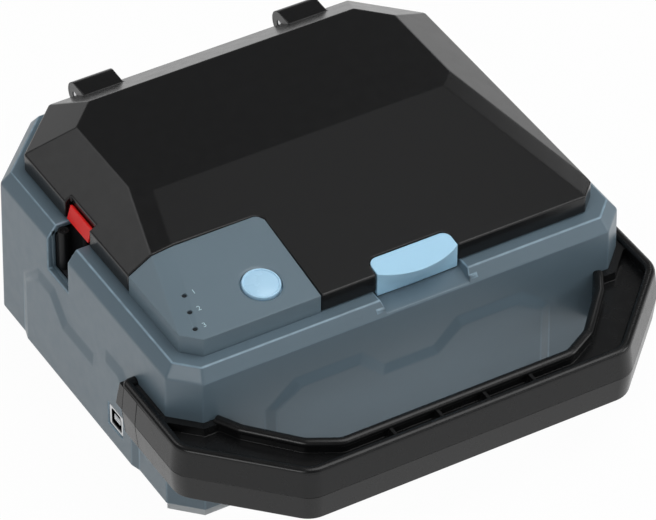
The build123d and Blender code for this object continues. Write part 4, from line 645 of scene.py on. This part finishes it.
def square_loop(form, x, half_y, half_z, low_cut, high_cut):
    """A square with cut corners across the socket's axis, from the lower front corner on."""
    corners = (
        (-half_y + low_cut, -half_z), (half_y - low_cut, -half_z),
        (half_y, -half_z + low_cut), (half_y, half_z - high_cut),
        (half_y - high_cut, half_z), (-half_y + high_cut, half_z),
        (-half_y, half_z - high_cut), (-half_y, -half_z + low_cut),
    )
    return [form.verts.new((x, socket_y + y, socket_z + z)) for y, z in corners]


def skin(form, loops):
    """Faces from each loop of points to the next."""
    for near, far in zip(loops, loops[1:]):
        for place in range(len(near)):
            following = (place + 1) % len(near)
            corners = (near[place], near[following], far[following], far[place])
            form.faces.new(list(dict.fromkeys(corners)))


def formed(name, form, finish):
    """Puts a worked form in the scene, with one finish."""
    mesh = bpy.data.meshes.new(name)
    form.to_mesh(mesh)
    form.free()
    mesh.materials.append(finish)
    return in_scene(name, mesh)


def strip_maker():
    """The tree that lays a thin metal strip at every point of a mesh."""
    tree, inputs, given, made = new_tree("contact_strips", {"Size": "Vector"})
    strip = put(tree.nodes, "GeometryNodeMeshCube")
    places = put(tree.nodes, "GeometryNodeInstanceOnPoints")
    wire(tree.links,
         (given, "Size", strip, "Size"),
         (given, "Geometry", places, "Points"),
         (strip, "Mesh", places, "Instance"))
    hand_out(tree, given, made, places, "Instances")
    return tree, inputs


form = bmesh.new()
loops = [
    square_loop(form, mouth_back, mouth_y, mouth_z, socket_corner, key_corner),
    square_loop(form, collar_front + mouth_round, mouth_y, mouth_z, socket_corner, key_corner),
    square_loop(form, collar_front, mouth_y + mouth_round, mouth_z + mouth_round, socket_corner, key_corner),
    square_loop(form, collar_front, collar_y - collar_round, collar_z - collar_round,
                socket_corner, socket_corner),
    square_loop(form, collar_front + collar_round, collar_y, collar_z, socket_corner, socket_corner),
    square_loop(form, socket_low.x - collar_neck, collar_y, collar_z, socket_corner, socket_corner),
    square_loop(form, socket_low.x, socket_half_y, socket_half_z, socket_corner, socket_corner),
    square_loop(form, socket_high.x, socket_half_y, socket_half_z, socket_corner, socket_corner),
]
skin(form, loops)
form.faces.new(loops[0])
form.faces.new(reversed(loops[-1]))
bmesh.ops.recalc_face_normals(form, faces=form.faces)
socket_shell = formed("data_socket_shell", form, shell_steel)
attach(socket_shell, "base")
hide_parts("usb_socket")

# A black film inside the steel shell's mouth: painted shade along its walls; its closed back stands for the
# socket's black body.
form = bmesh.new()
loops = [
    square_loop(form, x, mouth_y - lining_film, mouth_z - lining_film, socket_corner, key_corner)
    for x in (mouth_back - lining_gap, socket_low.x + lining_gap)
]
skin(form, loops)
form.faces.new(loops[0])
bmesh.ops.recalc_face_normals(form, faces=form.faces)
bmesh.ops.reverse_faces(form, faces=form.faces)
socket_shade_lining = formed("data_socket_shade_lining", form, socket_shade_black)
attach(socket_shade_lining, "base")

form = bmesh.new()
loops = [
    square_loop(form, tongue_front, tongue_half_y - tongue_round, tongue_half_z - tongue_round,
                tip_corner, tip_corner),
    square_loop(form, tongue_front + tongue_round, tongue_half_y, tongue_half_z, tongue_corner, tongue_corner),
    square_loop(form, mouth_back - lining_gap, tongue_half_y, tongue_half_z, tongue_corner, tongue_corner),
]
skin(form, loops)
form.faces.new(loops[0])
form.faces.new(reversed(loops[-1]))
bmesh.ops.recalc_face_normals(form, faces=form.faces)
socket_tongue = formed("data_socket_tongue", form, tongue_pale)
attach(socket_tongue, "base")

contact_seats = bpy.data.meshes.new("data_socket_contacts_places")
contact_seats.from_pydata([
    (socket_low.x + contact_depth, socket_y + side * contact_off, socket_z + face * tongue_half_z)
    for side in (-1, 1) for face in (-1, 1)
], [], [])
contact_look = {"Size": contact_size, "Finish": gilt}
contact_mesh = grown_mesh("data_socket_contacts", contact_seats, strip_maker(), contact_look)
contacts = in_scene("data_socket_contacts", contact_mesh)
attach(contacts, "base")

# Power inlet: a black moulding pushed through the back wall, with a pin in its round bore.
# Its collar closes the wall's opening from outside.
inlet_black = moulded_plastic("inlet_plastic", (0.012, 0.012, 0.013), 0.42)
coat(inlet_black, "power_inlet")

# Tray: the deep grey moulding under the lid that carries the whole printing works.
# Its flange rests on the case's deck, and three small screws hold it there.
tray_grey = moulded_plastic("tray_plastic", (0.040, 0.043, 0.047), 0.5)
tray_moulding = moulding("tray", tray_grey, rounding=0.0004, body="base")

# Drive: a zinc-plated plate under the tray, held off on brass spacers, with the motor and gear posts.
# The gears are natural nylon, hobbed and left unpainted; the motor's pinion is brass.
plate_zinc = zinc_steel("drive_plate_zinc", (0.60, 0.61, 0.60), 0.35, (1, 8, 1))
coat(plate_zinc, "drive_plate", "catch_plate")
shaft_steel = zinc_steel("ground_steel", (0.66, 0.66, 0.67), 0.2, (1, 1, 0.2))
coat(shaft_steel, "gear_posts", "platen_shaft", "head_pivot", "hinge_pins", "roller_pin", "latch_pin")
turned_brass = zinc_steel("turned_brass", (0.74, 0.55, 0.24), 0.27, (1, 1, 6))
coat(turned_brass, "drive_spacers", "motor_pinion", "platen_bush", "cutter_pinion")
motor_can = zinc_steel("motor_can", (0.46, 0.47, 0.49), 0.4, (1, 1, 10))
coat(motor_can, "drive_motor", "cutter_motor")
nylon_white = moulded_plastic("gear_nylon_finish", (0.62, 0.60, 0.54), 0.38, grain=0.0008, ridge_highlight=0.1)
coat(nylon_white, "platen_gear", "idler_gear", "second_gear", "take_up_gear", "cutter_carriage")

# Platen: a ground rubber roller on a steel shaft, turning in a brass bush in the tray's floor.
# The exit roller beside the slot is harder, blacker rubber, with a little more shine.
platen_black = moulded_plastic("platen_rubber_finish", (0.018, 0.018, 0.019), 0.7, grain=0.0005, ridge_highlight=0.1)
coat(platen_black, "platen_roller")
roller_black = moulded_plastic("exit_roller_finish", (0.006, 0.006, 0.0065), 0.42, grain=0.0005,
                               reflect=0.2, ridge_highlight=0.1)
coat(roller_black, "exit_roller")

# Ribbon: two spools of black inked film, under a cassette that clips over them.
# The cassette is moulded in smoked plastic.
cassette_grey = moulded_plastic("cassette_plastic_finish", (0.10, 0.105, 0.11), 0.35)
cassette_moulding = moulding("ribbon_cassette", cassette_grey, rounding=0.0004, body="base")


def wound_stock(name, colour, gap_colour, centre, pitch, gloss):
    """Stock wound on a core: fine rings round the core show on the ends, as close lines on the rim."""
    wave_at_one = 0.31
    gloss_spread = 0.15
    finish, nodes, links, surface = new_finish(name)
    rings_at = {"Location": (-centre[0], -centre[1], 0), "Scale": (1, 1, 0)}
    ring_sizes = {"Scale": wave_at_one / pitch, "Distortion": 0.6, "Detail": 2}
    dull_steps = {"To Min": gloss * (1 - gloss_spread), "To Max": gloss * (1 + gloss_spread)}
    place = put(nodes, "ShaderNodeTexCoord")
    centred = put(nodes, "ShaderNodeMapping", rings_at)
    rings = put(nodes, "ShaderNodeTexWave", ring_sizes, wave_type="RINGS", rings_direction="Z")
    layers = put(nodes, "ShaderNodeMix", {"A": (*gap_colour, 1), "B": (*colour, 1)}, data_type="RGBA")
    dust = put(nodes, "ShaderNodeTexNoise", {"Scale": 120})
    dull = put(nodes, "ShaderNodeMapRange", dull_steps)
    ridge = put(nodes, "ShaderNodeBump", {"Strength": 0.35, "Distance": 0.00005})
    wire(links,
         (place, "Object", centred, "Vector"),
         (centred, "Vector", rings, "Vector"),
         (place, "Object", dust, "Vector"),
         (rings, "Fac", layers, "Factor"),
         (layers, "Result", surface, "Base Color"),
         (rings, "Fac", ridge, "Height"),
         (ridge, "Normal", surface, "Normal"),
         (dust, "Fac", dull, "Value"),
         (dull, "Result", surface, "Roughness"))
    return finish


film_black = (0.030, 0.030, 0.034)
film_gap = (0.008, 0.008, 0.009)
supply_centre = (0.028, -0.0202)
take_up_centre = (-0.012, 0.0078)
supply_film = wound_stock("supply_film", film_black, film_gap, supply_centre, pitch=0.0003, gloss=0.25)
coat(supply_film, "supply_spool")
used_film = wound_stock("used_film", film_black, film_gap, take_up_centre, pitch=0.0003, gloss=0.3)
coat(used_film, "take_up_spool")

# Label stock: white vinyl tape wound on a card core.
# The roll lies in its own round holder, moulded in pale grey plastic.
holder_white = moulded_plastic("holder_plastic", (0.52, 0.53, 0.53), 0.4)
holder_moulding = moulding("label_holder", holder_white, rounding=0.0004, body="base")
roll_centre = (0.052, 0.0698)
vinyl_white = (0.80, 0.80, 0.78)
vinyl_gap = (0.52, 0.52, 0.50)
label_white = wound_stock("label_vinyl", vinyl_white, vinyl_gap, roll_centre, pitch=0.0005, gloss=0.45)
coat(label_white, "label_roll")
card_brown = (0.42, 0.29, 0.17)
card_gap = (0.30, 0.20, 0.11)
core_brown = wound_stock("core_card_finish", card_brown, card_gap, roll_centre, pitch=0.0008, gloss=0.8)
coat(core_brown, "roll_core")

# Print head: a pressed steel arm on a pivot pin, with a pale ceramic head that presses on the platen.
# Its spring and the latch's are of the same steel.
arm_steel = zinc_steel("arm_steel", (0.58, 0.59, 0.60), 0.33, (1, 1, 8))
coat(arm_steel, "head_arm", "head_spring", "latch_spring")
head_cream = moulded_plastic("head_ceramic_finish", (0.56, 0.54, 0.48), 0.3, grain=0.0003, ridge_highlight=0.0)
coat(head_cream, "print_head")

# Cutter: a nylon carriage slides along the tray's floor and pushes a ground blade past a fixed one.
# Both blades are of bright tool steel.
blade_steel = zinc_steel("blade_steel", (0.72, 0.73, 0.74), 0.16, (1, 1, 6))
coat(blade_steel, "cutter_blade", "fixed_blade")

# Case: one blue-grey moulding from the feet to the deck, walls and bevelled rim together.
# Shallow plates stand out on its sides and front, and every outer edge is softly rounded.
# Its ridge edges take the full painted highlight.
case_grey = moulded_plastic("case_plastic_finish", (0.120, 0.172, 0.210), 0.36, ridge_highlight=1.0, round_off=0.0012)
case_moulding = moulding("case_shell", case_grey, rounding=0.0008, body="base", clamp=False)

# Exit throat: the case's own wall turned inwards round the label slot, down both sides and under it.
# The dark chute takes over behind it, and a rubber roller on a steel pin leads the strip out.
throat_front = -0.1222
throat_back = -0.1204
throat_half = 0.0103
throat_thick = 0.0010
throat_floor = 0.0632
throat_top = 0.0854
throat_middle = 0.0423
throat_outer = throat_half + throat_thick
throat_line = (
    (-throat_outer, throat_top), (-throat_half, throat_top), (-throat_half, throat_floor),
    (throat_half, throat_floor), (throat_half, throat_top), (throat_outer, throat_top),
    (throat_outer, throat_floor - throat_thick), (-throat_outer, throat_floor - throat_thick),
)
form = bmesh.new()
throat_ends = []
for x in (throat_front, throat_back):
    throat_ends.append([form.verts.new((x, throat_middle + y, z)) for y, z in throat_line])
skin(form, throat_ends)
for end in throat_ends:
    for corners in ((0, 1, 2, 7), (2, 3, 6, 7), (3, 4, 5, 6)):
        form.faces.new([end[corner] for corner in corners])
bmesh.ops.recalc_face_normals(form, faces=form.faces)
exit_throat = formed("exit_throat", form, case_grey)
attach(exit_throat, "base")
coat(inner_grey, "exit_chute")
guard_red = moulded_plastic("guard_red_finish", (0.90, 0.020, 0.018), 0.33, reflect=0.2, ridge_highlight=0.1,
                            round_off=0.0005)
guard_moulding = moulding("exit_guard", guard_red, rounding=0.0003, body="base")

# Control panel: a hollow pod screwed to the deck's front left corner, its roof in line with the lid.
# It is moulded in the case's own plastic, with a shallow dish pressed in round the button. Its colour is the
# case's painted a little paler: painted light on its roof.
panel_grey_painted_paler = moulded_plastic("panel_plastic_finish", (0.135, 0.190, 0.228), 0.38, round_off=0.0008)
panel_moulding = moulding("control_panel", panel_grey_painted_paler, rounding=0.0004, body="base")

# Power button: a pale blue cap with a rounded rim, a fine groove inside it and a shallow dome.
# It is turned on the axis that stands square on the panel's slope.
panel_rise = 0.0144
panel_run = 0.0929
panel_tilt = math.atan2(panel_rise, panel_run)
button_seat = Vector((-0.0636, -0.0484, 0.10158))
button_across = 0.0095
button_skirt = 0.0112
skirt_top = -0.0028
skirt_foot = -0.0039
rim_radius = 0.00062
rim_centre = Vector((button_across - rim_radius, 0.00020))
rim_turn = 150
rim_steps = 8
around = 72
cap_crease = 50
button_blue = moulded_plastic("button_plastic", (0.47, 0.73, 0.93), 0.27, ridge_highlight=0.0, mottle=0.02)
cap_line = [(0.0, 0.00128), (0.0022, 0.00122), (0.0044, 0.00104), (0.0064, 0.00076), (0.0078, 0.00046)]
cap_line += [(0.0081, 0.00036), (0.00825, 0.00034), (0.0084, 0.00042)]
for step in range(rim_steps + 1):
    bearing = math.radians(rim_turn - rim_turn * step / rim_steps)
    cap_line.append(rim_centre + rim_radius * Vector((math.cos(bearing), math.sin(bearing))))
cap_line += [(button_across, skirt_top), (button_skirt, skirt_top)]
cap_line += [(button_skirt, skirt_foot), (0.0, skirt_foot)]
form = bmesh.new()
rings = []
for radius, height in cap_line:
    if radius == 0:
        rings.append([form.verts.new((0, 0, height))] * around)
    else:
        bearings = [math.tau * turn / around for turn in range(around)]
        rings.append([form.verts.new((radius * math.cos(bearing), radius * math.sin(bearing), height))
                      for bearing in bearings])
skin(form, rings)
bmesh.ops.recalc_face_normals(form, faces=form.faces)
for face in form.faces:
    face.smooth = True
form.transform(Matrix.Translation(button_seat) @ Matrix.Rotation(panel_tilt, 4, "X"))
button_cap = formed("power_button_cap", form, button_blue)
button_cap.data.set_sharp_from_angle(angle=math.radians(cap_crease))
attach(button_cap, "button")
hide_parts("power_button")

# Light pipes: three dark rods of smoked plastic that end just under the panel's surface.
# Plain numbers, printed in a thin pale ink, tell them apart.
pipe_dark = moulded_plastic("pipe_plastic", (0.020, 0.024, 0.028), 0.15, ridge_highlight=0.0)
coat(pipe_dark, "light_pipes")
number_ink = moulded_plastic("number_ink", (0.50, 0.66, 0.72), 0.5, grain=0.0002, ridge_highlight=0.0, mottle=0.08)
pipe_boxes = sorted(separate_bodies("light_pipes"), key=lambda box: -box[0].y)
number_size = 0.0040
number_gap = 0.0028
number_film = 0.00004
form = bmesh.new()
for count, (low, high) in enumerate(pipe_boxes, 1):
    digit = bpy.data.curves.new("digit", "FONT")
    digit.body = str(count)
    digit.size = number_size
    digit.align_y = "CENTER"
    digit.resolution_u = 6
    stencil = in_scene("digit", digit)
    bpy.context.view_layer.update()
    flat = bpy.data.meshes.new_from_object(stencil.evaluated_get(bpy.context.evaluated_depsgraph_get()))
    bpy.data.objects.remove(stencil)
    start = Vector((high.x + number_gap, (low.y + high.y) / 2, 0))
    start.z = button_seat.z + (start.y - button_seat.y) * math.tan(panel_tilt) + number_film
    flat.transform(Matrix.Translation(start) @ Matrix.Rotation(panel_tilt, 4, "X"))
    form.from_mesh(flat)
    bpy.data.meshes.remove(flat)
panel_numbers = formed("panel_numbers", form, number_ink)
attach(panel_numbers, "base")

# Handle: two black shells joined along a parting line, with inlaid covers over the ends of the arms.
# It hugs the case on three sides and is screwed on from inside.
handle_black = moulded_plastic("handle_plastic_finish", (0.0068, 0.0070, 0.0073), 0.26, depth=0.000003,
                               reflect=0.34, ridge_highlight=0.15)
handle_top = 0.0613
bead_rise = 0.0022
bead_half = 0.0026
for handle_node in ("handle_upper", "handle_lower", "handle_covers"):
    handle_shell = moulding(handle_node, handle_black, rounding=0.0003, body="base", clamp=False)
    if handle_node == "handle_upper":
        for vert in handle_shell.data.vertices:
            vert.co.z = min(vert.co.z, handle_top - bead_rise)


# Handle beads: the rounded lips moulded along the outer edge and round the finger gap.
# Both run from wall to wall, following the handle's plan, and stand a little over its flat top.
def rounded_path(corners, radii, step=math.radians(7)):
    """A run of straight lines whose corners are rounded with arcs of the given radii."""
    path = [corners[0]]
    for before, corner, after, radius in zip(corners, corners[1:], corners[2:], radii):
        to_before = (before - corner).normalized()
        to_after = (after - corner).normalized()
        half_turn = to_before.angle(to_after) / 2
        centre = corner + (to_before + to_after).normalized() * (radius / math.sin(half_turn))
        first = corner + to_before * (radius / math.tan(half_turn)) - centre
        last = corner + to_after * (radius / math.tan(half_turn)) - centre
        sweep = first.angle(last)
        stops = max(2, round(sweep / step))
        for stop in range(stops + 1):
            from_first = math.sin((1 - stop / stops) * sweep)
            from_last = math.sin(stop / stops * sweep)
            path.append(centre + (first * from_first + last * from_last) / math.sin(sweep))
    path.append(corners[-1])
    return path


def beside(corners, distance):
    """The same run of lines moved to its left by a distance."""
    ways = [(after - before).normalized() for before, after in zip(corners, corners[1:])]
    lefts = [Vector((-way.y, way.x, 0)) for way in ways]
    moved = [corners[0] + lefts[0] * distance]
    for corner, left, next_left in zip(corners[1:-1], lefts, lefts[1:]):
        both = (left + next_left).normalized()
        moved.append(corner + both * (distance / both.dot(left)))
    moved.append(corners[-1] + lefts[-1] * distance)
    return moved


def bead_maker():
    """The tree that sweeps a flattened round section along the edges of a mesh."""
    tree, inputs, given, made = new_tree("moulded_bead", {"Section": "Vector"})
    nodes = tree.nodes
    path = put(nodes, "GeometryNodeMeshToCurve")
    level_path = put(nodes, "GeometryNodeSetCurveNormal", mode="Z_UP")
    circle = put(nodes, "GeometryNodeCurvePrimitiveCircle", {"Resolution": 24, "Radius": 1.0})
    section = put(nodes, "GeometryNodeTransform")
    sweep = put(nodes, "GeometryNodeCurveToMesh", {"Fill Caps": True})
    soft = put(nodes, "GeometryNodeSetShadeSmooth")
    wire(tree.links,
         (given, "Geometry", path, "Mesh"),
         (path, "Curve", level_path, "Curve"),
         (circle, "Curve", section, "Geometry"),
         (given, "Section", section, "Scale"),
         (level_path, "Curve", sweep, "Curve"),
         (section, "Geometry", sweep, "Profile Curve"),
         (sweep, "Mesh", soft, "Geometry"))
    hand_out(tree, given, made, soft, "Geometry")
    return tree, inputs


moulded_bead = bead_maker()
bead_crease = 60


def bead(name, path):
    """One lip along a path, its crown level with the handle's full height."""
    spine = bpy.data.meshes.new(name + "_spine")
    spine.from_pydata([(place.x, place.y, handle_top - bead_rise) for place in path],
                      [(count, count + 1) for count in range(len(path) - 1)], [])
    section = (bead_half, bead_rise, 1.0)
    grown = grown_mesh(name, spine, moulded_bead, {"Section": section, "Finish": handle_black})
    grown.set_sharp_from_angle(angle=math.radians(bead_crease))
    piece = in_scene(name, grown)
    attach(piece, "base")


case_front = -0.0782
gap_half_plan = ((0.1035, 0.0), (0.097, -0.0115), (0.0765, -0.034), (0.062, -0.042))
gap_radii = (0.006, 0.012, 0.009)
gap_plan = [Vector((-x, case_front + y, 0)) for x, y in gap_half_plan]
gap_plan += [Vector((x, case_front + y, 0)) for x, y in reversed(gap_half_plan)]
bead("handle_gap_bead", rounded_path(beside(gap_plan, -bead_half), gap_radii + gap_radii[::-1]))

handle_half = 0.1326
handle_reach = 0.0580
arm_reach = 0.0444
corner_cut = 0.0467
edge_margin = 0.0016
wall_at_rim = 0.1252
rim_radii = (0.0022, 0.0118, 0.0118)
rim_half = handle_half - bead_half
rim_front = case_front - handle_reach + bead_half
rim_end = case_front + arm_reach - bead_half
rim_cut = corner_cut - (edge_margin + bead_half) * (2 - math.sqrt(2))
rim_plan = [Vector((-x, y, 0)) for x, y in (
    (wall_at_rim, rim_end), (rim_half, rim_end),
    (rim_half, rim_front + rim_cut), (rim_half - rim_cut, rim_front),
)]
rim_plan += [Vector((-place.x, place.y, 0)) for place in reversed(rim_plan)]
bead("handle_rim_bead", rounded_path(rim_plan, rim_radii + rim_radii[::-1]))

# Lid: one black shell with broad facets, polished a little more than the handle.
# Two knuckles at its back turn on the hinge pins.
lid_black = moulded_plastic("lid_plastic_finish", (0.0070, 0.0071, 0.0074), 0.24, reflect=0.42,
                            round_off=0.0009)
lid_moulding = moulding("lid", lid_black, rounding=0.0007, body="lid", clamp=False)
coat(inner_grey, "lid_liner")

# Latch: a pale blue lip that turns on a steel pin across the lid's notch.
# Its plastic is much the button's blue, with a duller face.
latch_blue = moulded_plastic("latch_plastic", (0.44, 0.73, 0.94), 0.38, ridge_highlight=0.1, round_off=0.0009)
latch_moulding = moulding("latch", latch_blue, rounding=0.0006, body="latch")
